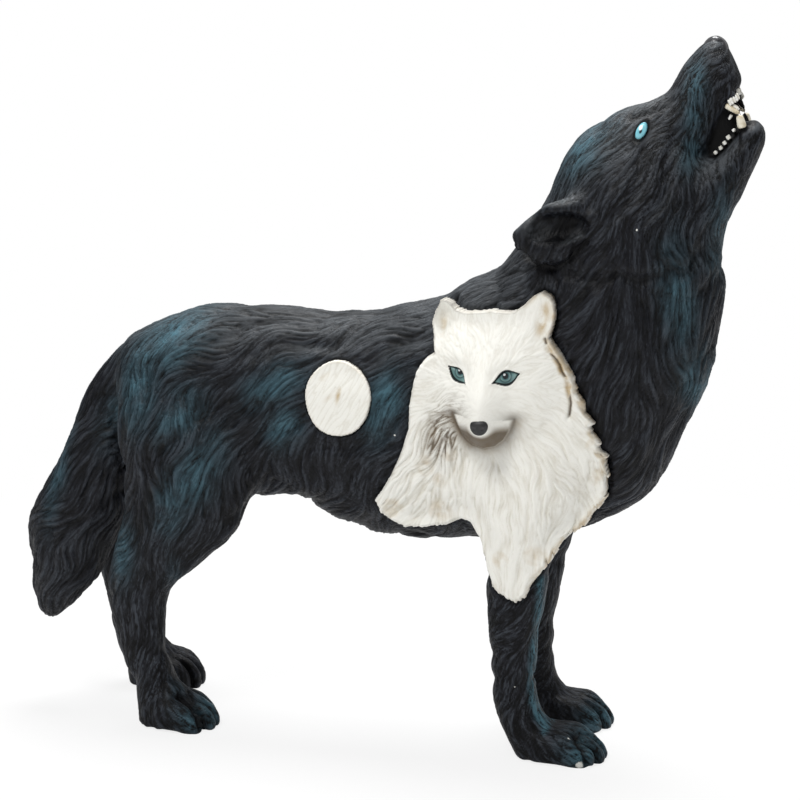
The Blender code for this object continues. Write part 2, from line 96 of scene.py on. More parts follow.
def bandNoise(side, fineBlur, coarseBlur):
    # a block of noise that repeats, with lumps of nearly one size
    block = noise.standard_normal((side, side, side)).astype(np.float32)
    fine = blurred(block, fineBlur)
    block = fine - blurred(fine, coarseBlur)
    return block / block.std()


tile = bandNoise(80, 2, 7)


def tileAt(points, cell, shift):
    # reads the repeating block at any points, in mm, with the given mm to a cell
    place = points / cell + shift
    base = np.floor(place).astype(np.int32)
    part = place - base
    part = part * part * (3.0 - 2.0 * part)
    side = tile.shape[0]
    low = np.mod(base, side)
    high = np.mod(low + 1, side)
    flat = tile.reshape(-1)
    total = 0.0
    for ix, wx in ((low[:, 0], 1.0 - part[:, 0]), (high[:, 0], part[:, 0])):
        for iy, wy in ((low[:, 1], 1.0 - part[:, 1]), (high[:, 1], part[:, 1])):
            row = (ix * side + iy) * side
            wxy = wx * wy
            total = total + wxy * ((1.0 - part[:, 2]) * flat[row + low[:, 2]]
                                   + part[:, 2] * flat[row + high[:, 2]])
    return total


def gridAt(grid, low, cell, points):
    # reads a grid of vectors at any points
    place = (points - low) / cell
    base = np.clip(np.floor(place).astype(np.int32), 0, np.array(grid.shape[:3]) - 2)
    part = np.clip(place - base, 0.0, 1.0)
    table = grid.reshape(-1, grid.shape[3])
    start = (base[:, 0] * grid.shape[1] + base[:, 1]) * grid.shape[2] + base[:, 2]
    total = 0.0
    for stepX, wx in ((0, 1.0 - part[:, 0]), (grid.shape[1] * grid.shape[2], part[:, 0])):
        for stepY, wy in ((0, 1.0 - part[:, 1]), (grid.shape[2], part[:, 1])):
            wxy = wx * wy
            total = total + (wxy * (1.0 - part[:, 2]))[:, None] * table[start + stepX + stepY]
            total = total + (wxy * part[:, 2])[:, None] * table[start + stepX + stepY + 1]
    return total


def combed(points, flow, layers, stride=0.6):
    # averages noise along the fur from every point, both ways; layers give cell and reach in mm
    totals = [tileAt(points, cell, 7.3 * i) for i, (cell, reach) in enumerate(layers)]
    longest = max(reach for cell, reach in layers)
    for way in (1.0, -1.0):
        here = points.copy()
        for step in range(1, int(longest / stride) + 1):
            here = here + (way * stride) * flow(here)
            for i, (cell, reach) in enumerate(layers):
                gone = step * stride / reach
                if gone < 1.0:
                    totals[i] = totals[i] + (1.0 - gone * gone) * tileAt(here, cell, 7.3 * i)
    return [total / total.std() for total in totals]


def strand(values, width):
    # turns combed noise into rounded ridges from 0 to 1
    return np.minimum(1.0, np.abs(values) / width) ** 0.65


def furRidge(fine, coarse, share):
    # fine and coarse strands mixed by the share of coarse ones
    return strand(fine, 1.3) * (1.0 - 0.75 * share) + strand(coarse, 1.6) * (0.75 * share)


# how the fur lies: x and z in mm, the way it grows in degrees, depth in mm, share of coarse strands

furGuide = np.array([
    (-2, 106, 197, 0.34, 0.5), (16, 107, 200, 0.34, 0.5), (-27, 105, 198, 0.34, 0.5), (-45, 101, 205, 0.36, 0.5),
    (-57, 96, 235, 0.36, 0.6), (-52, 89, 260, 0.40, 0.8), (-52, 74, 268, 0.44, 1.0), (-40, 79, 254, 0.46, 1.0),
    (-40, 64, 258, 0.44, 1.0), (-30, 86, 224, 0.46, 1.0), (-19, 91, 214, 0.46, 0.9), (-27, 69, 242, 0.44, 1.0),
    (-14, 75, 232, 0.44, 0.9), (-14, 63, 250, 0.38, 0.8), (6, 79, 230, 0.42, 0.8), (-2, 98, 207, 0.42, 0.7),
    (11, 94, 221, 0.42, 0.7), (1, 64, 247, 0.36, 0.7), (16, 62, 250, 0.34, 0.7), (24, 115, 214, 0.38, 0.7),
    (36, 119, 222, 0.42, 0.8), (57, 114, 244, 0.44, 0.9), (72, 114, 262, 0.44, 0.9), (85, 115, 272, 0.40, 0.8),
    (62, 94, 250, 0.44, 1.0), (77, 90, 262, 0.42, 1.0), (72, 72, 244, 0.40, 0.9), (60, 64, 238, 0.36, 0.8),
    (79, 163, 238, 0.10, 0.0), (73, 155, 238, 0.14, 0.0), (66, 150, 236, 0.16, 0.0), (53, 148, 228, 0.24, 0.1),
    (42, 137, 232, 0.30, 0.3), (66, 139, 250, 0.28, 0.2), (68, 126, 262, 0.38, 0.5), (56, 134, 240, 0.30, 0.3),
    (85, 141, 256, 0.22, 0.1), (93, 150, 250, 0.10, 0.0), (85, 128, 268, 0.30, 0.4), (78, 132, 264, 0.34, 0.4),
    (-67, 82, 226, 0.44, 0.9), (-65, 70, 220, 0.46, 1.0), (-75, 54, 218, 0.46, 1.0), (-75, 38, 234, 0.42, 0.9),
    (-65, 49, 214, 0.46, 1.0), (-55, 45, 262, 0.30, 0.6), (-48, 45, 240, 0.26, 0.5), (-55, 25, 264, 0.18, 0.3),
    (-55, 10, 262, 0.10, 0.1), (-43, 5, 330, 0.06, 0.0), (38, 46, 228, 0.20, 0.3), (38, 31, 220, 0.20, 0.2),
    (41, 15, 224, 0.14, 0.1), (47, 32, 262, 0.16, 0.1), (46, 5, 320, 0.08, 0.0), (56, 4, 330, 0.06, 0.0),
])


def guideMap(rows, low, size, spread):
    # the guide's rows mixed by nearness on a flat grid of 1 mm cells
    x, z = np.meshgrid(low[0] + np.arange(size[0]), low[1] + np.arange(size[1]), indexing="ij")
    weights, sums = 0.0, 0.0
    for rowX, rowZ, angle, depth, coarse in rows:
        weight = 1.0 / ((x - rowX) ** 2 + (z - rowZ) ** 2 + spread ** 2) ** 2
        lean = radians(angle)
        sums = sums + weight[..., None] * np.array([cos(lean), sin(lean), depth, coarse])
        weights = weights + weight
    return sums / weights[..., None]


def mapAt(values, low, x, z, cell=1.0):
    # reads a flat grid of numbers or vectors at any places
    column = np.clip((x - low[0]) / cell, 0.0, values.shape[0] - 1.01)
    row = np.clip((z - low[1]) / cell, 0.0, values.shape[1] - 1.01)
    i, j = column.astype(int), row.astype(int)
    u, v = column - i, row - j
    if values.ndim > 2:
        u, v = u[..., None], v[..., None]
    return ((values[i, j] * (1 - u) + values[i + 1, j] * u) * (1 - v)
            + (values[i, j + 1] * (1 - u) + values[i + 1, j + 1] * u) * v)


def furFlow(points, normals, guide, guideLow, cell=2.5, sway=0.42):
    # a grid of directions that lie along the skin, with the fur's waves in them
    low = points.min(axis=0) - 3.0 * cell
    size = np.ceil((points.max(axis=0) - low) / cell).astype(int) + 4
    place = ((points - low) / cell + 0.5).astype(int)
    flat = (place[:, 0] * size[1] + place[:, 1]) * size[2] + place[:, 2]
    out = np.stack([np.bincount(flat, weights=normals[:, i], minlength=size.prod()) for i in range(3)], axis=1)
    out = blurred(out.reshape(*size, 3), 2)
    out /= np.linalg.norm(out, axis=3, keepdims=True) + 1e-9
    axes = [low[i] + cell * np.arange(size[i]) for i in range(3)]
    spots = np.stack(np.meshgrid(*axes, indexing="ij"), axis=3)
    lean = mapAt(guide, guideLow, spots[..., 0].ravel(), spots[..., 2].ravel())
    along = np.zeros((len(lean), 3))
    along[:, 0], along[:, 2] = lean[:, 0], lean[:, 1]
    out = out.reshape(-1, 3)
    along -= out * (out * along).sum(axis=1)[:, None]
    along /= np.linalg.norm(along, axis=1)[:, None] + 1e-9
    flatSpots = spots.reshape(-1, 3).astype(np.float32)
    turn = sway * (0.80 * tileAt(flatSpots, 3.4, 3.0) + 0.30 * tileAt(flatSpots, 1.7, 9.0))
    across = np.cross(out, along)
    along = np.cos(turn)[:, None] * along + np.sin(turn)[:, None] * across
    return along.reshape(*size, 3).astype(np.float32), low.astype(np.float32), cell


# where the white pieces sit

nearFlank = -4.0   # y in mm: below it the coat belongs to the flank that carries them

bustOutline = np.array([
    (45.3, 113.1), (46.8, 112.3), (47.8, 111.0), (48.3, 108.5), (47.9, 106.3), (47.1, 103.0), (50.2, 98.9),
    (52.5, 94.7), (53.7, 91.2), (56.1, 85.4), (57.3, 83.7), (57.2, 81.4), (58.7, 78.7), (58.8, 76.4), (60.2, 75.2),
    (60.4, 69.3), (59.4, 64.0), (56.9, 60.9), (54.4, 57.7), (51.9, 56.2), (49.9, 53.8), (47.9, 50.8), (45.7, 47.7),
    (43.9, 45.2), (42.4, 42.1), (41.4, 40.5), (39.8, 39.4), (38.0, 40.3), (35.7, 41.5), (34.2, 42.8), (33.4, 45.7),
    (32.4, 49.0), (31.4, 52.8), (29.8, 55.2), (28.2, 57.9), (25.6, 58.4), (22.0, 56.6), (16.8, 55.6), (11.7, 55.2),
    (8.5, 56.6), (6.0, 58.4), (4.7, 61.5), (6.8, 64.3), (9.1, 68.0), (11.0, 71.9), (12.7, 75.8), (14.0, 80.0),
    (14.2, 85.5), (14.9, 89.5), (15.9, 93.8), (17.9, 96.7), (20.2, 98.1), (19.8, 102.0), (19.0, 105.3),
    (19.8, 108.2), (21.0, 110.3), (22.4, 109.9), (24.1, 108.0), (27.4, 107.5), (31.0, 108.0), (33.7, 108.4),
    (37.2, 108.1), (39.1, 108.4), (41.6, 110.2), (43.4, 112.1),
])


def segmentAway(x, z, start, end):
    # mm from each place to a straight line between two points
    (ax, az), (bx, bz) = start, end
    along = np.clip(((x - ax) * (bx - ax) + (z - az) * (bz - az)) / ((bx - ax) ** 2 + (bz - az) ** 2), 0, 1)
    return np.hypot(x - ax - along * (bx - ax), z - az - along * (bz - az))


def insideBy(outline, x, z):
    # mm that each place lies inside a closed outline, negative outside
    outline = np.asarray(outline)
    nearest = np.full(x.shape, 1e9)
    inside = np.zeros(x.shape, bool)
    for (ax, az), (bx, bz) in zip(outline, np.roll(outline, -1, axis=0)):
        nearest = np.minimum(nearest, segmentAway(x, z, (ax, az), (bx, bz)))
        if az != bz:
            inside ^= ((az > z) != (bz > z)) & (x < (bx - ax) * (z - az) / (bz - az) + ax)
    return np.where(inside, nearest, -nearest)


def lineAway(x, z, line):
    # mm from each place to a bent line
    nearest = np.full(x.shape, 1e9)
    for start, end in zip(line[:-1], line[1:]):
        nearest = np.minimum(nearest, segmentAway(x, z, start, end))
    return nearest


def turned(x, z, centre, half, turn):
    # places measured from a centre along two turned directions, in shares of the half sizes
    lean = radians(turn)
    across = ((x - centre[0]) * cos(lean) + (z - centre[1]) * sin(lean)) / half[0]
    up = ((z - centre[1]) * cos(lean) - (x - centre[0]) * sin(lean)) / half[1]
    return across, up


def hill(x, z, centre, half, turn=0.0):
    # a soft round rise, 1 at its centre
    across, up = turned(x, z, centre, half, turn)
    return np.exp(-across ** 2 - up ** 2)


moonPlace = {
    "centre": (-4.6, 85.8),  # x and z in mm
    "half": (8.1, 8.75),
    "cell": 0.22,
    "grain": 238,            # degrees that its brushed grain leans
}


# what the materials share

def newMaterial(name):
    material = bpy.data.materials.new(name)
    material.use_nodes = True
    tree = material.node_tree
    return material, tree, tree.nodes["Principled BSDF"]


def feed(tree, socket, value):
    # links an output to a socket, or sets a plain value on it
    if isinstance(value, bpy.types.NodeSocket):
        tree.links.new(value, socket)
    else:
        socket.default_value = value


def settle(shader, **values):
    # plain values on the shader, such as coatRoughness for its socket Coat Roughness
    for name, value in values.items():
        label = "".join(" " + letter if letter.isupper() else letter for letter in name)
        shader.inputs[label[0].upper() + label[1:]].default_value = value


def objectPlace(tree):
    return tree.nodes.new("ShaderNodeTexCoord").outputs["Object"]


def layer(tree, name):
    node = tree.nodes.new("ShaderNodeAttribute")
    node.attribute_name = name
    return node.outputs["Fac"]


def noiseOf(tree, place, scale, detail=2, output="Fac"):
    node = tree.nodes.new("ShaderNodeTexNoise")
    node.inputs["Scale"].default_value = scale
    node.inputs["Detail"].default_value = detail
    feed(tree, node.inputs["Vector"], place)
    return node.outputs[output]


def maths(tree, operation, *values):
    node = tree.nodes.new("ShaderNodeMath")
    node.operation = operation
    for socket, value in zip(node.inputs, values):
        feed(tree, socket, value)
    return node.outputs["Value"]


def vectorMaths(tree, operation, *values, output="Vector"):
    node = tree.nodes.new("ShaderNodeVectorMath")
    node.operation = operation
    for socket, value in zip(node.inputs, values):
        feed(tree, socket, value)
    return node.outputs[output]


def mapped(tree, value, low, high, start=0.0, end=1.0):
    node = tree.nodes.new("ShaderNodeMapRange")
    for label, number in (("From Min", low), ("From Max", high), ("To Min", start), ("To Max", end)):
        node.inputs[label].default_value = number
    feed(tree, node.inputs["Value"], value)
    return node.outputs["Result"]


def over(tree, colour, share, paint):
    # lays a paint over a colour by its share
    node = tree.nodes.new("ShaderNodeMix")
    node.data_type = "RGBA"
    for number, value in ((0, share), (6, colour), (7, paint)):
        feed(tree, node.inputs[number], value)
    return node.outputs[2]


def ramped(tree, value, stops):
    # a colour ramp from pairs of place and colour
    node = tree.nodes.new("ShaderNodeValToRGB")
    elements = node.color_ramp.elements
    elements[0].position, elements[0].color = stops[0]
    elements[1].position, elements[1].color = stops[-1]
    for position, colour in stops[1:-1]:
        elements.new(position).color = colour
    feed(tree, node.inputs["Fac"], value)
    return node.outputs["Color"]


def addBump(tree, shader, height, strength, distance):
    node = tree.nodes.new("ShaderNodeBump")
    node.inputs["Strength"].default_value = strength
    node.inputs["Distance"].default_value = distance
    feed(tree, node.inputs["Height"], height)
    feed(tree, shader.inputs["Normal"], node.outputs["Normal"])


# the howling head: eyes, nose and teeth

headPlaces = {
    "middle": 2.57,                  # y of the wolf's middle plane
    "eye": (66.3, -8.6, 150.2),      # the near eye, mirrored for the far one
    "eyeSize": (1.15, 0.95, 2.25),
    "eyeTurn": -25,
    "nose": (81.45, 2.57, 168.75),
    "noseSize": (2.80, 3.5, 2.95),   # forward, sideways, upwards
    "noseTurn": -37,
}


def mirrored(place):
    return (place[0], 2 * headPlaces["middle"] - place[1], place[2])


def finishPiece(piece, name, material):
    # puts the piece's place into its mesh and makes it ride on the body
    pickOnly(piece)
    bpy.ops.object.transform_apply(location=True, rotation=True, scale=True)
    piece.name = name
    piece.data.name = name
    piece.data.materials.clear()
    piece.data.materials.append(material)
    piece.data.shade_smooth()
    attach(piece, "root")


def reshape(piece, change):
    # moves all points of a piece by a function of their places
    points = vertexArray(piece.data)
    piece.data.vertices.foreach_set("co", change(points.astype(np.float64)).astype(np.float32).ravel())
    piece.data.update()


def paintMaterial(name, colour, dark, roughness, scale=500, coat=0.0):
    # one paint with a soft mottle of a darker one
    material, tree, shader = newMaterial(name)
    mottle = noiseOf(tree, objectPlace(tree), scale, 4)
    feed(tree, shader.inputs["Base Color"], ramped(tree, mottle, ((0.35, dark), (0.60, colour))))
    addBump(tree, shader, mottle, 0.15, 0.0001)
    settle(shader, roughness=roughness, coatWeight=coat, coatRoughness=0.12)
    return material


def eyeMaterial(name, centre, across, up, look):
    # rings painted round the iris: distances are measured along two directions on the eye
    material, tree, shader = newMaterial(name)
    place = objectPlace(tree)

    def distance(spot, radiusAcross, radiusUp):
        shift = vectorMaths(tree, "SUBTRACT", place, tuple(v * mm for v in spot))
        squares = []
        for direction, radius in ((across, radiusAcross), (up, radiusUp)):
            scaled = tuple(v / (radius * mm) for v in direction)
            dot = vectorMaths(tree, "DOT_PRODUCT", shift, scaled, output="Value")
            squares.append(maths(tree, "POWER", dot, 2.0))
        return maths(tree, "SQRT", maths(tree, "ADD", *squares))

    away = maths(tree, "MULTIPLY", distance(centre, *look["iris"]), 1.0 / look["reach"])
    colour = ramped(tree, away, look["rings"])
    # painted highlights: white glints laid over the rings
    for spot, radius in look["glints"]:
        colour = over(tree, colour, mapped(tree, distance(spot, *radius), 1.15, 0.85), (0.95, 0.98, 0.98, 1))
    if "rim" in look:
        colour = over(tree, colour, layer(tree, "rim"), look["rim"])
    feed(tree, shader.inputs["Base Color"], colour)
    settle(shader, roughness=0.22, coatWeight=0.3, coatRoughness=0.08)
    return material


def makeHowlingEyes():
    look = {
        "iris": (1.15, 2.15), "reach": 1.25,
        "rings": ((0.0, (0.01, 0.02, 0.025, 1)), (0.16, (0.01, 0.02, 0.025, 1)),
                  (0.24, (0.16, 0.50, 0.60, 1)), (0.66, (0.26, 0.66, 0.76, 1)), (0.80, (0.10, 0.34, 0.42, 1)),
                  (0.88, (0.004, 0.006, 0.008, 1)), (1.0, (0.004, 0.004, 0.005, 1))),
    }
    lean = radians(headPlaces["eyeTurn"])
    across, up = (cos(lean), 0.0, sin(lean)), (-sin(lean), 0.0, cos(lean))
    for side in ("near", "far"):
        place = headPlaces["eye"] if side == "near" else mirrored(headPlaces["eye"])
        spot = tuple(v * mm for v in place)
        bpy.ops.mesh.primitive_uv_sphere_add(segments=48, ring_count=32, radius=mm, location=spot)
        eye = bpy.context.active_object
        eye.scale = headPlaces["eyeSize"]
        eye.rotation_euler = (0, -lean, 0)
        # a painted highlight on the eye's upper part
        glint = tuple(place[i] - 0.38 * across[i] + 0.75 * up[i] for i in range(3))
        look["glints"] = ((glint, (0.42, 0.62)),)
        paint = eyeMaterial("howling_eye_paint_" + side, place, across, up, look)
        finishPiece(eye, "howling_eye_" + side, paint)


def makeHowlingNose():
    spot = tuple(v * mm for v in headPlaces["nose"])
    bpy.ops.mesh.primitive_uv_sphere_add(segments=96, ring_count=64, radius=mm, location=spot)
    nose = bpy.context.active_object

    def shaped(points):
        # a pad with two comma-shaped nostrils and a groove between them
        x, y, z = points.T / mm
        side = np.abs(y)
        bulge = 1.0 + 0.10 * np.exp(-((side - 0.55) / 0.3) ** 2) * softStep(x, -0.2, 0.6)
        nostril = np.exp(-((side - 0.80) / 0.17) ** 2 - ((z + 0.02 - 0.30 * (x - 0.45)) / 0.13) ** 2)
        nostril = nostril * softStep(x, 0.05, 0.3)
        groove = np.exp(-(y / 0.09) ** 2) * softStep(x, 0.2, 0.7) * softStep(-z, -0.3, 0.2)
        boxy = 1.0 + 0.10 * (1.0 - np.maximum(np.maximum(np.abs(x), side), np.abs(z)))
        return points * (boxy * (bulge - 0.30 * nostril - 0.12 * groove))[:, None]

    reshape(nose, shaped)
    nose.scale = headPlaces["noseSize"]
    nose.rotation_euler = (0, radians(headPlaces["noseTurn"]), 0)
    black, darker = (0.030, 0.031, 0.036, 1), (0.012, 0.012, 0.015, 1)
    finishPiece(nose, "howling_nose", paintMaterial("glossy_black", black, darker, 0.34, 900, 0.5))


teeth = {
    # root, tip, radius at the root, share of it at the tip, bend in mm
    "upper_canine": ((84.7, -2.6, 156.1), (88.0, -3.4, 154.2), 0.70, 0.55, 0.25),
    "upper_spike": ((86.4, -2.4, 156.2), (87.8, -2.9, 155.0), 0.50, 0.7, 0.1),
    "lower_canine": ((88.7, -2.9, 150.9), (88.0, -3.3, 153.9), 1.05, 0.70, -0.15),
    "upper_incisor_1": ((85.4, -3.1, 157.4), (86.0, -3.3, 156.0), 0.34, 0.8, 0.05),
    "upper_incisor_2": ((85.8, -3.1, 157.8), (86.5, -3.3, 156.3), 0.34, 0.8, 0.05),
    "upper_incisor_3": ((86.3, -2.8, 158.1), (87.0, -3.0, 156.7), 0.34, 0.8, 0.05),
    "upper_incisor_4": ((86.7, -2.3, 158.4), (87.4, -2.6, 157.0), 0.34, 0.8, 0.05),
    "upper_incisor_5": ((87.0, -1.6, 158.8), (87.7, -1.9, 157.4), 0.32, 0.8, 0.05),
    "front_incisor": ((86.7, 1.2, 159.8), (87.3, 1.1, 158.2), 0.50, 0.8, 0.05),
    "upper_molar": ((86.0, -1.3, 153.9), (85.4, -1.7, 152.7), 0.40, 0.6, 0.0),
}
cheekTeeth = (   # x, z and half size
    (86.5, 150.3, 0.42), (85.35, 148.65, 0.58), (84.5, 147.35, 0.52), (83.65, 146.2, 0.52), (82.5, 145.1, 0.50),
)


def makeTooth(name, root, tip, radius, share, bend, material):
    start, end = Vector(root) * mm, Vector(tip) * mm
    length = (end - start).length
    bpy.ops.mesh.primitive_cone_add(vertices=20, radius1=radius * mm, radius2=radius * share * mm, depth=length)
    tooth = bpy.context.active_object
    bpy.ops.object.mode_set(mode="EDIT")
    bpy.ops.mesh.select_all(action="SELECT")
    bpy.ops.mesh.subdivide(number_cuts=3)
    bpy.ops.mesh.tris_convert_to_quads()
    bpy.ops.object.mode_set(mode="OBJECT")

    def curved(points):
        height = points[:, 2] / length + 0.5
        full = 1.0 + 0.15 * np.sin(np.pi * np.clip(height, 0, 1)) * (1 - 0.4 * height)
        points[:, 0] = points[:, 0] * full + bend * mm * height ** 2
        points[:, 1] = points[:, 1] * full
        return points

    reshape(tooth, curved)
    addModifier(tooth, "SUBSURF", levels=1, render_levels=1)
    tooth.location = (start + end) * 0.5
    tooth.rotation_mode = "QUATERNION"
    tooth.rotation_quaternion = (end - start).to_track_quat("Z", "Y")
    finishPiece(tooth, name, material)


def makeTeeth():
    ivory = paintMaterial("ivory_paint", (0.78, 0.74, 0.62, 1), (0.52, 0.44, 0.29, 1), 0.40, 420)
    white = paintMaterial("tooth_white", (0.83, 0.83, 0.80, 1), (0.62, 0.60, 0.52, 1), 0.38, 700)
    for name, (root, tip, radius, share, bend) in teeth.items():
        paint = ivory if "canine" in name else white
        for side in ("near", "far"):
            flip = (lambda place: place) if side == "near" else mirrored
            makeTooth(name + "_" + side, flip(root), flip(tip), radius, share, bend, paint)
    for number, (x, z, half) in enumerate(cheekTeeth):
        for side, y in (("near", -0.4), ("far", 2 * headPlaces["middle"] + 0.4)):
            bpy.ops.mesh.primitive_cube_add(size=2 * mm, location=(x * mm, y * mm, z * mm))
            tooth = bpy.context.active_object
            tooth.scale = (half * 0.8, 1.3, half * 0.9)
            tooth.rotation_euler = (0, radians(-36), 0)
            bpy.ops.object.transform_apply(location=False, rotation=False, scale=True)
            addModifier(tooth, "BEVEL", width=0.22 * mm, segments=3)
            finishPiece(tooth, "cheek_tooth_%d_%s" % (number + 1, side), white)


makeHowlingEyes()
makeHowlingNose()
makeTeeth()
print("head: eyes, nose and teeth made")


# the coat

coatSizes = {
    "cell": 0.415,           # mm between the coat's points
    "smoothing": 12,
    "fineStrand": (0.27, 4.2),   # mm to a noise cell, and how far a strand reaches each way
    "coarseStrand": (0.40, 7.8),
    "lock": (1.25, 9.6),
    "lockDepth": 0.42,
    "skinRoom": 0.10,        # mm that the crests stand over the CAD's skin
}


def copyOfNode(name, newName):
    # a node's mesh is loose triangles, so its copy is merged first
    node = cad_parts[name]
    mesh = node.data.copy()
    piece = bpy.data.objects.new(newName, mesh)
    bpy.context.collection.objects.link(piece)
    mesh.materials.clear()
    pickOnly(piece)
    bpy.ops.object.mode_set(mode="EDIT")
    bpy.ops.mesh.select_all(action="SELECT")
    bpy.ops.mesh.remove_doubles(threshold=0.00002)
    bpy.ops.object.mode_set(mode="OBJECT")
    return piece


def makeCoat():
    coat = copyOfNode("wolf_figurine", "coat")
    for attribute in list(coat.data.attributes):
        if attribute.name not in ("position", ".edge_verts", ".corner_vert", ".corner_edge"):
            if not attribute.is_required:
                coat.data.attributes.remove(attribute)
    addModifier(coat, "SUBSURF", levels=1, render_levels=1)
    addModifier(coat, "REMESH", mode="VOXEL", voxel_size=coatSizes["cell"] * mm)
    addModifier(coat, "SMOOTH", factor=0.5, iterations=coatSizes["smoothing"])
    return coat


coat = makeCoat()
print("coat: skin of", len(coat.data.vertices), "points,", len(coat.data.polygons), "faces")


def carveCoat(coat):
    points = vertexArray(coat.data) / mm
    normals = vertexArray(coat.data, "normal").copy()
    guideLow = (points[:, 0].min() - 8.0, points[:, 2].min() - 8.0)
    guide = guideMap(furGuide, guideLow, (205, 190), 5.0)
    flow, low, cell = furFlow(points, normals, guide, guideLow)
    print("coat: fur directions ready")
    fine, coarse, lock = combed(points, lambda spots: gridAt(flow, low, cell, spots),
                                [coatSizes["fineStrand"], coatSizes["coarseStrand"], coatSizes["lock"]])
    print("coat: strands combed")
    lean = mapAt(guide, guideLow, points[:, 0], points[:, 2])
    depth, share = lean[:, 2], lean[:, 3]
    raised, ink, bareHead = headForms(points, lock)
    pawRaised, cleftShade = pawForms(points)
    sunkWhite, whiteEdgeShade = underWhite(points)
    # black paint, and painted shade in creases, toe clefts and round the white pieces
    ink = np.maximum(ink, np.maximum(cleftShade, whiteEdgeShade))

    ridge = furRidge(fine, coarse, share)
    lockRidge = strand(lock, 1.2)
    bare = np.maximum(bareSkin(points), bareHead)
    depth = depth * (1.0 - bare)
    sunk = 1.6 * depth * (1.0 - ridge) + (depth / 0.44) * coatSizes["lockDepth"] * (1.0 - lockRidge)
    sunk = sunk - coatSizes["skinRoom"] * (1.0 - bare)
    sunk = sunk + sunkWhite - raised - pawRaised
    points = points - sunk[:, None] * normals
    coat.data.vertices.foreach_set("co", (points * mm).astype(np.float32).ravel())
    coat.data.update()
    lockShare = 0.22 * np.minimum(1.0, share + 0.15)
    along = gridAt(flow, low, cell, points)
    layers = {
        "crest": (1.0 - lockShare) * ridge + lockShare * lockRidge,
        "teal": tealPaint(points),
        "ink": ink,
        # painted sheen: lighter on the upward-facing top of the back
        "dust": softStep(normals[:, 2], 0.05, 0.95) * softStep(points[:, 2], 88.0, 101.0),
        "turn": np.degrees(np.arctan2(along[:, 2], along[:, 0])) % 360.0 / 360.0,
        "hair": np.clip(1.25 - 1.4 * lean[:, 2], 0.6, 1.1) * (1.0 - bare),
    }
    for name, values in layers.items():
        writeAttribute(coat.data, name, values)


# lines and outlines on the head, x and z in mm
headLines = {
    "mouth": ((80.8, 143.7), (80.4, 146.8), (81.7, 150.2), (83.9, 155.0), (85.7, 156.9), (88.1, 158.0),
              (92.0, 157.0), (91.5, 151.4), (88.1, 149.7), (85.5, 146.5), (82.9, 143.7)),
    "ruff": ((43.7, 118.4), (50.8, 117.2), (57.8, 118.4), (64.8, 117.6), (71.7, 119.0), (78.6, 120.8),
             (84.2, 123.7)),
    "brow": ((63.6, 153.0), (65.6, 153.9), (68.4, 154.7), (71.0, 155.8), (72.6, 157.4)),
    "earRim": ((38.9, 126.4), (42.5, 129.2), (46.5, 132.2), (51.0, 132.6), (55.5, 130.9)),
    "earShadow": ((39.4, 121.6), (43.3, 118.6), (47.5, 118.2), (51.8, 121.0), (55.0, 124.6)),
}


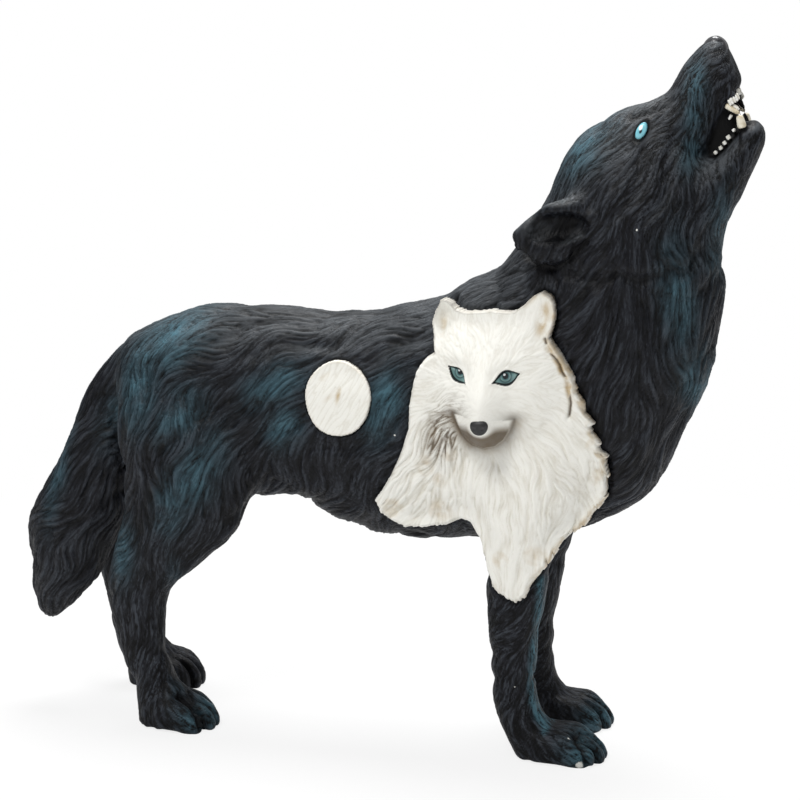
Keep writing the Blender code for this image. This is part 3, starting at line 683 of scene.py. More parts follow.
def headForms(points, lock):
    # mm that the head's own forms stand out, where it is painted black in the mouth and round the eyes and carries
    # painted shade in the brow crease, the ear's hollow, under the ear and under the ruff, and where it has no fur
    x, z = points[:, 0], points[:, 2]
    side = np.abs(points[:, 1] - headPlaces["middle"])
    eyePlace, eyeTurn = (headPlaces["eye"][0], headPlaces["eye"][2]), headPlaces["eyeTurn"]
    raised, ink, bare = np.zeros((3, len(points)))
    head = (x > 30) & (z > 105)
    px, pz, ps = x[head], z[head], side[head]
    outward = softStep(ps, 3.0, 6.0)
    cheek = softStep(ps, 6.0, 10.0)
    # the ruff's edge across the cheek
    below = pz - np.interp(px, *zip(*headLines["ruff"])) + 1.1 * np.clip(lock[head], -1.5, 1.5)
    across = softStep(px, 46, 52) * softStep(-px, -83, -76)
    up = 0.55 * np.exp(-((below - 2.2) / 2.4) ** 2) - 0.95 * np.exp(-((below + 0.9) / 1.5) ** 2)
    up = up * across * cheek
    # brow and eyelids
    brow = lineAway(px, pz, headLines["brow"])
    up = up - 0.55 * np.exp(-(brow / 0.7) ** 2) * outward
    up = up + 0.45 * hill(px, pz, (66.8, 157.0), (5.0, 1.7), 28) * outward
    up = up - 0.9 * hill(px, pz, eyePlace, (2.1, 3.3), eyeTurn) * outward
    ring = np.sqrt(-np.log(np.maximum(hill(px, pz, eyePlace, (1.35, 2.5), eyeTurn), 1e-9)))
    up = up + 0.35 * np.exp(-((ring - 1.25) / 0.22) ** 2) * outward
    # the ear: its rim, its cup and the shadow under it
    out = softStep(ps, 10.5, 13.0)
    earRim = lineAway(px, pz, headLines["earRim"])
    up = up + out * (0.7 * np.exp(-(earRim / 1.3) ** 2) - 1.5 * hill(px, pz, (48.0, 127.8), (5.6, 3.0), 28)
                     - 0.7 * hill(px, pz, (44.0, 126.2), (4.0, 1.0), 14)
                     + 0.5 * hill(px, pz, (46.5, 122.6), (6.0, 2.4), 6))
    earShadow = lineAway(px, pz, headLines["earShadow"])
    up = up - 1.1 * np.exp(-(earShadow / 0.8) ** 2) * softStep(ps, 8.0, 10.5)
    # the mouth and its lip
    inMouth = insideBy(headLines["mouth"], px, pz)
    mouth = softStep(inMouth, -0.25, 0.35) * (ps > 1.0)
    up = up + 0.30 * np.exp(-((inMouth + 0.9) / 0.55) ** 2) * outward
    raised[head] = up
    # black paint in the mouth and round the eye; painted shade in the brow crease, the ear's hollow, under the ear
    # and under the ruff's edge
    ink[head] = np.maximum.reduce([
        mouth,
        0.9 * softStep(-ring, -1.5, -1.15) * outward,
        0.7 * np.exp(-(brow / 0.8) ** 2) * outward,
        0.9 * np.minimum(1.0, 1.3 * hill(px, pz, (48.6, 127.4), (5.6, 3.2), 28)) * out,
        0.6 * hill(px, pz, (44.0, 126.2), (4.5, 1.1), 14) * out,
        0.8 * np.exp(-(earShadow / 1.0) ** 2) * softStep(ps, 8.0, 10.5),
        0.6 * np.exp(-((below + 0.9) / 1.2) ** 2) * across * cheek])
    bare[head] = np.maximum.reduce([
        softStep(inMouth, -1.6, -0.8),
        0.8 * np.exp(-(earRim / 1.8) ** 4) * out,
        0.6 * hill(px, pz, (48.2, 128.2), (5.4, 2.6), 25) * out])
    return raised, ink, bare


# each paw: y of its middle and x of its longest toe, in mm
paws = ((-11.5, 60.9), (15.0, 58.1), (-11.5, -37.7), (20.5, -52.9))
# clefts beside the near outer toes, and the sharp front edge of the near fore leg: x and z in mm
toeClefts = (
    ((50.5, 9.4), (54.3, 6.8), (56.6, 4.2), (57.6, 0.8)),
    ((-46.5, 8.6), (-43.0, 6.6), (-40.8, 4.2), (-39.8, 0.8)),
)
foreLegEdge = (
    (45.2, 44.3), (44.9, 39.2), (44.4, 34.2), (43.6, 28.7), (43.2, 21.5), (43.0, 17.8), (43.5, 14.1),
    (44.8, 10.8), (47.0, 8.1),
)


def pawForms(points):
    # mm that the toes stand out, and the painted shade in the clefts between them
    x, y, z = points.T
    raised, cleftShade = np.zeros(len(points)), np.zeros(len(points))
    for middle, tip in paws:
        chosen = (np.abs(y - middle) < 9.0) & (x > tip - 13.0) & (x < tip + 2.0) & (z < 11.0)
        px, py, pz = x[chosen], y[chosen] - middle, z[chosen]
        front = softStep(px, tip - 12.0, tip - 6.0) * softStep(-pz, -10.0, -6.5)
        spread = 1.0 + 0.03 * (px - tip)
        gap = np.min([np.abs(py - place * spread) for place in (-3.9, 0.1, 4.1)], axis=0)
        raised[chosen] = front * (0.35 - 1.75 * np.exp(-(gap / 0.62) ** 2))
        # painted shade in the clefts between the toes
        cleftShade[chosen] = front * np.exp(-(gap / 0.60) ** 2)
    outer = softStep(-y, 11.0, 13.5)
    side = np.min([lineAway(x, z, line) for line in toeClefts], axis=0)
    raised -= 1.5 * outer * np.exp(-(side / 0.55) ** 2)
    # painted shade beside the near outer toes
    cleftShade = np.maximum(cleftShade, outer * np.exp(-(side / 0.55) ** 2))
    edge = np.where(y < nearFlank, np.exp(-(lineAway(x, z, foreLegEdge) / 0.7) ** 2), 0.0)
    return raised + 0.4 * edge, cleftShade


def underWhite(points):
    # mm that the coat draws back under the bust and the moon, and the painted shade along the groove around them
    x, y, z = points.T
    near = y < nearFlank
    chosen = near & (x > 0.0) & (x < 66.0) & (z > 35.0)
    within = insideBy(bustOutline, x[chosen], z[chosen])
    sunk, line = np.zeros((2, len(points)))
    sunk[chosen] = 1.5 * softStep(within, -1.5, -0.2)
    # painted shade along the groove round the bust
    line[chosen] = 0.9 * softStep(within, -1.0, -0.3)
    away = np.hypot(*turned(x, z, moonPlace["centre"], moonPlace["half"], 0.0))
    sunk = np.maximum(sunk, 1.5 * softStep(-away, -1.11, -1.0))
    # painted shade along the groove round the moon
    line = np.maximum(line, 0.95 * softStep(-away, -1.09, -1.04))
    return np.where(near, sunk, 0.0), np.where(near, line, 0.0)


# no fur round the eyes and on the nose: x, y, z, and how far it is bare and where the fur is whole, in mm
bareSpots = ((66.3, -8.9, 150.3, 2.4, 4.0), (66.3, 14.0, 150.3, 2.4, 4.0), (82.5, 2.6, 171.0, 3.5, 5.5))


def bareSkin(points):
    # 1 where nothing is carved: the soles and the bare spots
    bare = softStep(-points[:, 2], -1.4, -0.6)
    for x, y, z, inner, outer in bareSpots:
        away = np.sqrt((points[:, 0] - x) ** 2 + (points[:, 1] - y) ** 2 + (points[:, 2] - z) ** 2)
        bare = np.maximum(bare, 1.0 - softStep(away, inner, outer))
    return bare


# patches of blue-green mist: x, z, half width, half height in mm, turn in degrees, strength
tealPatches = (
    (53.0, 147.0, 9.0, 4.5, 50, 0.8), (77.8, 158.5, 2.4, 8.0, 0, 0.75), (77.5, 146.0, 2.2, 5.0, 0, 0.5),
    (85.0, 126.0, 2.6, 9.0, -4, 0.6), (76.0, 112.0, 3.6, 12.0, 4, 0.6), (80.0, 92.0, 3.5, 8.0, 6, 0.65),
    (-50.0, 97.5, 10.0, 5.5, 22, 1.15), (-57.0, 85.0, 5.0, 8.0, 0, 0.9), (-45.0, 80.0, 5.0, 7.0, -35, 0.6),
    (-40.0, 66.0, 4.5, 9.0, -25, 0.8), (-47.0, 58.0, 4.0, 7.0, -10, 0.55), (-21.0, 88.0, 7.0, 4.0, 30, 0.8),
    (-19.0, 78.0, 5.0, 4.0, 45, 0.7), (7.0, 85.0, 4.0, 7.5, -20, 1.0), (-82.0, 62.0, 2.5, 12.0, -12, 0.45),
    (-66.0, 78.0, 3.5, 8.0, -20, 0.4), (-61.0, 45.0, 3.5, 7.0, 0, 0.6), (-47.0, 25.0, 2.0, 16.0, 0, 0.35),
    (57.0, 4.0, 5.0, 4.0, 0, 0.8), (-40.0, 4.0, 4.5, 4.0, 0, 0.8),
)


def tealPaint(points):
    x, y, z = points.T
    total = np.zeros(len(points))
    for patchX, patchZ, halfX, halfZ, turn, strength in tealPatches:
        total = np.maximum(total, strength * hill(x, z, (patchX, patchZ), (halfX, halfZ), turn))
    edge = np.exp(-(lineAway(x, z, foreLegEdge) / 0.75) ** 2)
    return np.maximum(total, np.where(y < nearFlank, 1.1 * edge, 0.0))


carveCoat(coat)
print("coat: carved")


# cutting the coat into closed pieces

# mm; what lies past the last x is divided along z
coatCuts = {"x": (-62.0, -34.0, -4.0, 26.0), "z": (118.0, 64.0)}
coatNames = ("coat_tail", "coat_haunch", "coat_loin", "coat_flank", "coat_fore_legs", "coat_mane", "coat_head")


def coatPart(centres):
    # the number of the piece that each face goes to
    alongX = np.digitize(centres[:, 0], coatCuts["x"])
    last = len(coatCuts["x"])
    return np.where(alongX < last, alongX, last + np.digitize(centres[:, 2], sorted(coatCuts["z"])))


def splitCoat(coat, material):
    form = bmesh.new()
    form.from_mesh(coat.data)
    for normal, places in (((1, 0, 0), coatCuts["x"]), ((0, 0, 1), coatCuts["z"])):
        for place in places:
            bmesh.ops.bisect_plane(form, geom=form.verts[:] + form.edges[:] + form.faces[:],
                                   plane_co=tuple(place * mm * n for n in normal), plane_no=normal, dist=1e-6)
    form.to_mesh(coat.data)
    form.free()
    mesh = coat.data
    points, normals = vertexArray(mesh), vertexArray(mesh, "normal").copy()
    corners = np.empty(len(mesh.loops), np.int32)
    mesh.loops.foreach_get("vertex_index", corners)
    counts = np.empty(len(mesh.polygons), np.int32)
    mesh.polygons.foreach_get("loop_total", counts)
    centres = np.empty(len(mesh.polygons) * 3, np.float32)
    mesh.polygons.foreach_get("center", centres)
    parts = coatPart(centres.reshape(-1, 3) / mm)
    layers = {}
    for name in ("crest", "teal", "ink", "dust", "turn", "hair"):
        values = np.empty(len(mesh.vertices), np.float32)
        mesh.attributes[name].data.foreach_get("value", values)
        layers[name] = values
    pieces = []
    for number, name in enumerate(coatNames):
        chosen = parts == number
        used, own = np.unique(corners[np.repeat(chosen, counts)], return_inverse=True)
        ownCounts = counts[chosen]
        partMesh = bpy.data.meshes.new(name)
        partMesh.vertices.add(len(used))
        partMesh.vertices.foreach_set("co", points[used].ravel())
        partMesh.loops.add(len(own))
        partMesh.loops.foreach_set("vertex_index", own.astype(np.int32))
        partMesh.polygons.add(len(ownCounts))
        starts = np.concatenate([[0], np.cumsum(ownCounts)[:-1]]).astype(np.int32)
        partMesh.polygons.foreach_set("loop_start", starts)
        partMesh.update(calc_edges=True)
        for layerName, values in layers.items():
            writeAttribute(partMesh, layerName, values[used])
        closeRims(partMesh)
        partMesh.shade_smooth()
        partMesh.normals_split_custom_set_from_vertices(normals[used])
        piece = bpy.data.objects.new(name, partMesh)
        bpy.context.collection.objects.link(piece)
        partMesh.materials.append(material)
        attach(piece, "root")
        pieces.append(piece)
        print(name, "triangles", sum(len(face.vertices) - 2 for face in partMesh.polygons))
    bpy.data.objects.remove(coat)
    return pieces


def closeRims(mesh):
    form = bmesh.new()
    form.from_mesh(mesh)
    rims = [edge for edge in form.edges if edge.is_boundary]
    bmesh.ops.holes_fill(form, edges=rims, sides=0)
    form.to_mesh(mesh)
    form.free()


# materials

def furTexture(tree, place, turn):
    # fine strands in the paint: noise stretched along some directions, each shown where the fur lies that way
    wobble = noiseOf(tree, place, 300, output="Color")
    bent = vectorMaths(tree, "MULTIPLY_ADD", wobble, (0.0014, 0.0014, 0.0014), place)
    total = 0.0
    for angle, width in ((205, 24), (229, 24), (253, 24), (277, 26), (328, 40)):
        combing = tree.nodes.new("ShaderNodeMapping")
        combing.vector_type = "TEXTURE"
        combing.inputs["Rotation"].default_value = (0, -radians(angle), 0)
        combing.inputs["Scale"].default_value = (15.0, 1.0, 1.0)
        feed(tree, combing.inputs["Vector"], bent)
        strands = maths(tree, "SUBTRACT", noiseOf(tree, combing.outputs["Vector"], 1500), 0.5)
        gap = maths(tree, "ABSOLUTE", maths(tree, "SUBTRACT", turn, angle / 360))
        total = maths(tree, "MULTIPLY_ADD", strands, mapped(tree, gap, width / 360, 0.0), total)
    return mapped(tree, maths(tree, "ABSOLUTE", total), 0.0, 0.13)


# small places where the white ground shows through the paint: x, y, z and size in mm
chips = (
    (55.9, -19.0, 0.9, 0.85), (53.1, -17.6, 6.9, 0.34), (59.8, -16.4, 114.5, 0.26), (66.8, -15.6, 128.2, 0.24),
    (10.1, -17.3, 78.1, 0.24), (-12.8, -15.2, 86.4, 0.20), (-76.7, -6.4, 58.7, 0.24), (39.5, -16.2, 18.0, 0.22),
)


def coatMaterial():
    look = {
        # groove: painted shade in the grooves and creases
        "groove": (0.0006, 0.0006, 0.0009, 1),
        "coat": (0.0075, 0.0082, 0.0112, 1),
        "brush": (0.034, 0.039, 0.048, 1),   # dry-brushed grey and painted highlight on the hair's crests
        "dust": (0.085, 0.093, 0.100, 1),    # painted sheen: pale grey on the back's upward-facing top
        "mist": (0.062, 0.145, 0.185, 1),
        "chip": (0.70, 0.70, 0.66, 1),
        "roughness": 0.50, "gloss": 0.16,
    }
    material, tree, shader = newMaterial("painted_coat")
    place = objectPlace(tree)
    hair = maths(tree, "MULTIPLY", layer(tree, "hair"), 0.45)
    strands = maths(tree, "SUBTRACT", furTexture(tree, place, layer(tree, "turn")), 0.55)
    fine = maths(tree, "MULTIPLY", strands, hair)
    height = maths(tree, "ADD", maths(tree, "MULTIPLY", layer(tree, "crest"), 0.92), fine)
    # dark in the grooves, grey on the crests: dry-brushed paint, with painted shade in the grooves and painted
    # highlight on the crests
    colour = ramped(tree, height, ((0.18, look["groove"]), (0.55, look["coat"]), (1.0, look["brush"])))
    # painted sheen laid over the back's upward-facing top, strongest on the crests
    dust = maths(tree, "MULTIPLY", layer(tree, "dust"), mapped(tree, height, 0.10, 0.95, 0.1, 0.9))
    colour = over(tree, colour, dust, look["dust"])
    cloud = mapped(tree, noiseOf(tree, place, 170, 5), 0.28, 0.60, 0.25, 1.0)
    cloud = maths(tree, "MULTIPLY", cloud, mapped(tree, height, 0.05, 0.85))
    colour = over(tree, colour, maths(tree, "MULTIPLY", layer(tree, "teal"), cloud), look["mist"])
    # black paint in the mouth and round the eyes, and painted shade in the creases, toe clefts and round the white
    # pieces
    colour = over(tree, colour, layer(tree, "ink"), look["groove"])
    speck = mapped(tree, noiseOf(tree, place, 1500, 3), 0.0, 1.0, -0.7, 0.7)
    for x, y, z, size in chips:
        away = vectorMaths(tree, "DISTANCE", place, (x * mm, y * mm, z * mm), output="Value")
        edge = maths(tree, "ADD", maths(tree, "MULTIPLY", away, 1.0 / (size * mm)), speck)
        colour = over(tree, colour, mapped(tree, edge, 1.15, 0.85), look["chip"])
    feed(tree, shader.inputs["Base Color"], colour)
    grain = maths(tree, "MULTIPLY", noiseOf(tree, place, 2600, 3), 0.25)
    addBump(tree, shader, maths(tree, "ADD", fine, grain), 0.75, 0.00030)
    shader.inputs["Roughness"].default_value = look["roughness"]
    shader.inputs["Specular IOR Level"].default_value = look["gloss"]
    return material


coatPieces = splitCoat(coat, coatMaterial())
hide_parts("wolf_figurine")
print("coat: split and painted")


# the white wolf's bust on the flank

def neighbours(values):
    # the mean of the four neighbours of each place of a flat grid
    wide = np.pad(values, 1, mode="edge")
    return (wide[:-2, 1:-1] + wide[2:, 1:-1] + wide[1:-1, :-2] + wide[1:-1, 2:]) * 0.25


def cadFace(outline, cell, margin):
    # how far out the CAD's face stands over a flat grid, carried on smoothly past the outline
    low, high = outline.min(axis=0) - 3.0, outline.max(axis=0) + 3.0
    xs, zs = np.arange(low[0], high[0], cell), np.arange(low[1], high[1], cell)
    x, z = np.meshgrid(xs, zs, indexing="ij")
    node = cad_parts["wolf_figurine"]
    tree = BVHTree.FromPolygons([v.co for v in node.data.vertices], [tuple(f.vertices) for f in node.data.polygons])
    sure = insideBy(outline, x, z) > margin
    face = np.zeros(x.shape)
    for i, j in zip(*np.nonzero(sure)):
        spot = tree.ray_cast(Vector((x[i, j] * mm, -0.06, z[i, j] * mm)), Vector((0, 1, 0)))[0]
        face[i, j] = spot.y / mm
    face[~sure] = face[sure].mean()
    for turn in range(600):
        spread = neighbours(face)
        face = np.where(sure, face if turn < 594 else 0.5 * (face + spread), spread)
    return face, low


def blurredGrid(values, passes):
    for _ in range(passes):
        values = 0.5 * (values + neighbours(values))
    return values


def reliefPiece(name, x, front, z, kept, back, layers):
    # a closed piece from a grid of heights: its front, walls down its rim and a back
    number = np.full(x.shape, -1)
    square = kept[:-1, :-1] & kept[1:, :-1] & kept[:-1, 1:] & kept[1:, 1:]
    used = np.zeros(x.shape, bool)
    for shiftX, shiftZ in ((0, 0), (1, 0), (0, 1), (1, 1)):
        used[shiftX:x.shape[0] - 1 + shiftX, shiftZ:x.shape[1] - 1 + shiftZ] |= square
    number[used] = np.arange(used.sum())
    points = np.stack([x[used], front[used], z[used]], axis=1) * mm
    i, j = np.nonzero(square)
    faces = np.stack([number[i, j], number[i + 1, j], number[i + 1, j + 1], number[i, j + 1]], axis=1)
    mesh = bpy.data.meshes.new(name)
    mesh.from_pydata(points.tolist(), [], faces.tolist())
    for layerName, values in layers.items():
        writeAttribute(mesh, layerName, values[used])
    form = bmesh.new()
    form.from_mesh(mesh)
    rim = [edge for edge in form.edges if edge.is_boundary]
    wall = bmesh.ops.extrude_edge_only(form, edges=rim)["geom"]
    for vertex in wall:
        if isinstance(vertex, bmesh.types.BMVert):
            vertex.co.y += back * mm
    rim = [edge for edge in form.edges if edge.is_boundary]
    bmesh.ops.holes_fill(form, edges=rim, sides=0)
    bmesh.ops.recalc_face_normals(form, faces=form.faces)
    form.to_mesh(mesh)
    form.free()
    mesh.shade_smooth()
    piece = bpy.data.objects.new(name, mesh)
    bpy.context.collection.objects.link(piece)
    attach(piece, "root")
    return piece


# the white fur: x and z in mm, the way it grows in degrees, depth in mm, share of coarse strands
bustGuide = np.array([
    (33, 102, 90, 0.11, 0.0), (27, 102, 112, 0.11, 0.0), (40, 102, 66, 0.11, 0.0), (21, 105, 100, 0.08, 0.0),
    (44, 107, 72, 0.08, 0.0), (21, 95, 165, 0.14, 0.1), (46, 96, 12, 0.14, 0.1), (20, 88, 205, 0.18, 0.3),
    (46, 88, 338, 0.14, 0.2), (20, 81, 232, 0.26, 0.7), (18, 72, 243, 0.30, 0.9), (12, 62, 232, 0.28, 0.9),
    (22, 62, 262, 0.32, 1.0), (25, 74, 254, 0.32, 0.9), (33, 70, 268, 0.28, 0.8), (36, 60, 271, 0.26, 0.8),
    (46, 80, 316, 0.18, 0.5), (52, 82, 308, 0.22, 0.6), (55, 70, 290, 0.26, 0.7), (50, 60, 264, 0.26, 0.7),
    (40, 48, 268, 0.22, 0.7), (28, 87, 196, 0.03, 0.0), (38.5, 87, 344, 0.03, 0.0), (33, 92, 90, 0.03, 0.0),
    (33, 78, 270, 0.02, 0.0), (44, 70, 278, 0.26, 0.7),
])

bustFace = {
    # eyes: centre, turn in degrees, half sizes, iris
    "eyes": (((26.4, 94.1), -37.0, (2.95, 1.25), (27.0, 94.7)), ((38.4, 94.0), 20.0, (3.05, 1.50), (38.0, 94.3))),
    "nose": (33.1, 83.0),
    "chin": ((25.5, 85.2), (26.5, 82.7), (27.9, 80.0), (30.0, 77.7), (32.9, 76.7), (35.7, 77.4), (37.8, 79.1),
             (39.3, 81.5), (40.2, 84.1)),
    "crevice": ((46.6, 102.9), (47.8, 100.6), (49.5, 97.9), (51.2, 94.7), (52.2, 91.5), (52.7, 88.0), (52.4, 84.5)),
    "stains": ((18.0, 71.6, 2.2), (21.5, 68.1, 1.6), (20.7, 60.1, 2.6), (44.5, 51.3, 2.2), (36.3, 49.7, 1.8),
               (59.0, 70.0, 2.0), (58.0, 78.0, 1.6), (9.0, 60.0, 2.2), (24.0, 75.0, 1.8)),
}


def almond(x, z, centre, half, turn):
    # 1 inside a pointed eye shape, falling past its edge
    across, up = turned(x, z, centre, half, turn)
    return 1.0 - (np.abs(across) ** 2.0 + np.abs(up) / np.maximum(1.0 - 0.55 * across ** 2, 0.2))


bustSizes = {
    "cell": 0.22,            # mm between the points of its face
    "strands": ((0.20, 3.0), (0.32, 6.5), (1.05, 9.0)),   # fine, coarse and lock: noise cell and reach in mm
    "lockDepth": 0.34,
    "skinRoom": 0.35,        # mm that the crests stand out from the CAD's face before the forms
    "back": 4.5,             # mm that the piece reaches into the body
}


def bustForms(x, z, face, crevice):
    # mm that the forms of the face stand out, the ground under its eyes, and the dark rims of the eyes
    rise = 0.40 * hill(x, z, (33.1, 91.0), (2.0, 6.5)) + 0.35 * hill(x, z, (33.1, 82.5), (4.2, 3.6))
    rise += 0.30 * hill(x, z, (25.4, 97.6), (4.0, 1.5), -18) + 0.30 * hill(x, z, (40.4, 97.6), (4.0, 1.5), 18)
    liner = np.zeros(x.shape)
    for centre, turn, half, iris in bustFace["eyes"]:
        rise -= 0.50 * hill(x, z, centre, (4.0, 2.8), turn)
    ground = face - rise
    for centre, turn, half, iris in bustFace["eyes"]:
        shape = almond(x, z, centre, half, turn)
        rise += 0.26 * np.exp(-((shape + 0.45) / 0.30) ** 2)
        rise -= 1.2 * softStep(shape, -0.10, 0.16)
        liner = np.maximum(liner, softStep(shape, -0.34, -0.10))
    chinAway = lineAway(x, z, bustFace["chin"])
    throat, lip = 1.10 * np.exp(-(chinAway / 2.2) ** 1.5), 0.45 * np.exp(-(chinAway / 0.6) ** 2)
    rise -= softStep(-z, -88.0, -84.5) * np.where(insideBy(bustFace["chin"], x, z) < 0, throat, lip)
    rise -= 0.6 * np.exp(-(crevice / 0.42) ** 2)
    rise -= 1.1 * bustEars(x, z)
    return rise, ground, liner


def bustEars(x, z):
    # the hollows of its two ears
    return hill(x, z, (45.9, 107.2), (1.5, 4.2), -8) + 0.7 * hill(x, z, (21.2, 105.0), (0.9, 2.6), 6)


def bustPaint(x, z, within, groove, crevice):
    # shares of tan and of painted shade
    stain = 0.9 * np.minimum(bustEars(x, z) * 1.2, 1.0)
    for stainX, stainZ, size in bustFace["stains"]:
        away = np.hypot(x - stainX, z - stainZ) / size
        stain = np.maximum(stain, 0.62 * np.exp(-away ** 2) + 0.15 * np.exp(-((away - 1.0) / 0.35) ** 2))
    stain = np.maximum(stain, 0.8 * softStep(-within, -1.6, 0.2) * softStep(x, 38, 46))
    jaw = insideBy(bustFace["chin"], x, z)
    chinAway = lineAway(x, z, bustFace["chin"])
    below, outside = softStep(-z, -88.0, -84.5), jaw < 0
    # painted shade below the nose inside the jaw
    soot = 1.05 * softStep(jaw, -0.1, 0.6) * softStep(-z, -84.0, -80.6)
    soot = soot * softStep(-hill(x, z, (33.1, 82.6), (3.0, 2.4)), -0.7, -0.2)
    # painted shade along the chin's lower line
    lipLine = below * np.exp(-(chinAway / 0.65) ** 2) * (0.75 + 0.35 * softStep(-x, -36, -29))
    # painted shade in the grooves of the mane left of the muzzle
    mane = hill(x, z, (22.8, 79.6), (4.2, 7.5), -24) * (x < 33)
    mane = outside * np.minimum(1.0, 1.4 * mane) * (0.12 + 1.25 * groove)
    # painted shade on the throat under the chin
    throat = outside * below * np.exp(-(chinAway / 2.2) ** 1.3) * (0.70 + 0.35 * softStep(-x, -34, -27))
    # painted shade along the top edge
    topEdge = 0.35 * softStep(-within, -0.35, 0.2) * softStep(z, 96.0, 99.0)
    soot = np.maximum.reduce([soot, lipLine, mane, throat, topEdge])
    # the tan also follows the painted shade, and darkens the crevice as painted shade
    stain = np.maximum(stain, 0.7 * soot)
    stain = np.maximum(stain, 1.2 * np.exp(-(crevice / 0.8) ** 2) * softStep(z, 84, 92))
    # painted shade broken into dashes along the crevice
    flat = np.stack([x.ravel(), 0 * x.ravel(), z.ravel()], axis=1)
    creviceShade = np.exp(-(crevice / 0.30) ** 2) * softStep(tileAt(flat, 1.0, 2.0).reshape(x.shape), -0.1, 0.4)
    return stain, np.maximum(soot, 1.1 * creviceShade)


def makeBust():
    cell = bustSizes["cell"]
    coarseFace, low = cadFace(bustOutline, 0.8, 1.6)
    xs, zs = np.arange(3.6, 61.6, cell), np.arange(38.3, 114.3, cell)
    x, z = np.meshgrid(xs, zs, indexing="ij")
    face = blurredGrid(mapAt(coarseFace, low, x, z, 0.8), 14)
    within = insideBy(bustOutline, x, z)
    near = within > -1.6
    guideLow = (0.0, 34.0)
    guide = guideMap(bustGuide, guideLow, (66, 84), 3.5)

    def flow(spots):
        lean = mapAt(guide, guideLow, spots[:, 0], spots[:, 2])
        turn = 0.24 * tileAt(spots, 1.7, 5.0) + 0.06 * tileAt(spots, 0.8, 2.0)
        length = np.hypot(lean[:, 0], lean[:, 1]) + 1e-6
        c, s = lean[:, 0] / length, lean[:, 1] / length
        return np.stack([c * np.cos(turn) - s * np.sin(turn), 0 * c, s * np.cos(turn) + c * np.sin(turn)], axis=1)

    spots = np.stack([x[near], 0.35 * face[near], z[near]], axis=1)
    fine, coarse, lock = np.zeros((3, *x.shape))
    fine[near], coarse[near], lock[near] = combed(spots, flow, bustSizes["strands"], 0.45)
    lean = mapAt(guide, guideLow, x, z)
    depth, share = lean[..., 2], lean[..., 3]
    ridge, lockRidge = furRidge(fine, coarse, share), strand(lock, 1.2)
    furSunk = 1.6 * depth * (1 - ridge) + (depth / 0.3) * bustSizes["lockDepth"] * (1 - lockRidge)

    crevice = lineAway(x + 0.25 * lock, z, bustFace["crevice"])
    rise, ground, liner = bustForms(x, z, face, crevice)
    ragged = 0.50 * softStep(x, 40, 50) * softStep(-z, -100, -84) + 0.2 * softStep(-z, -58, -52) + 0.10
    ragged = ragged * softStep(-within, -2.0, -0.6)
    within = within + 0.50 * np.clip(0.75 * fine + 0.45 * coarse, -1.6, 1.2) * ragged
    soft = softStep(-z, -104.0, -96.0)
    share = np.clip((within + 0.4) / (0.35 + 0.65 * soft), 0.0, 1.0)
    edge = (0.5 + 1.5 * soft) * (1.0 - share) ** 2
    stain, soot = bustPaint(x, z, within, 1.0 - ridge, crevice)
    layers = {"crest": 0.7 * ridge + 0.3 * lockRidge, "furDepth": np.minimum(depth / 0.3, 1.0), "stain": stain,
              "soot": soot, "liner": liner}
    front = face - rise + furSunk - bustSizes["skinRoom"] + edge
    bust = reliefPiece("white_bust", x, front, z, within > -0.42, bustSizes["back"], layers)
    bust.data.materials.append(bustMaterial())
    print("bust triangles", sum(len(f.vertices) - 2 for f in bust.data.polygons))
    return bust, lambda px, pz: mapAt(ground, (xs[0], zs[0]), px, pz, cell)


def bustMaterial():
    look = {"white": (0.80, 0.79, 0.735, 1), "groove": (0.52, 0.48, 0.39, 1), "tan": (0.45, 0.33, 0.17, 1),
            "soot": (0.080, 0.054, 0.030, 1), "liner": (0.008, 0.012, 0.013, 1)}
    material, tree, shader = newMaterial("painted_white")
    place = objectPlace(tree)
    # tan wash and painted shade in the grooves, deeper where the fur is deeper
    deep = mapped(tree, layer(tree, "furDepth"), 0.1, 1.0, 0.15, 0.75)
    groove = maths(tree, "MULTIPLY", mapped(tree, layer(tree, "crest"), 0.75, 0.15), deep)
    colour = over(tree, look["white"], groove, look["groove"])
    mottle = mapped(tree, noiseOf(tree, place, 330, 6), 0.36, 0.63)
    # tan stains, with painted shade following the chin and the crevice
    stain = maths(tree, "MULTIPLY", mapped(tree, layer(tree, "stain"), 0.15, 1.0), mottle)
    colour = over(tree, colour, stain, look["tan"])
    # painted shade under the chin, along the crevice, in the mane's grooves and along the top edge
    colour = over(tree, colour, mapped(tree, layer(tree, "soot"), 0.03, 0.92, 0.0, 0.90), look["soot"])
    colour = over(tree, colour, mapped(tree, layer(tree, "liner"), 0.25, 0.75), look["liner"])
    feed(tree, shader.inputs["Base Color"], colour)
    addBump(tree, shader, noiseOf(tree, place, 2400, 3), 0.2, 0.0001)
    shader.inputs["Roughness"].default_value = 0.55
    shader.inputs["Specular IOR Level"].default_value = 0.3
    return material


bust, bustGround = makeBust()
print("bust made")


# the moon on the flank

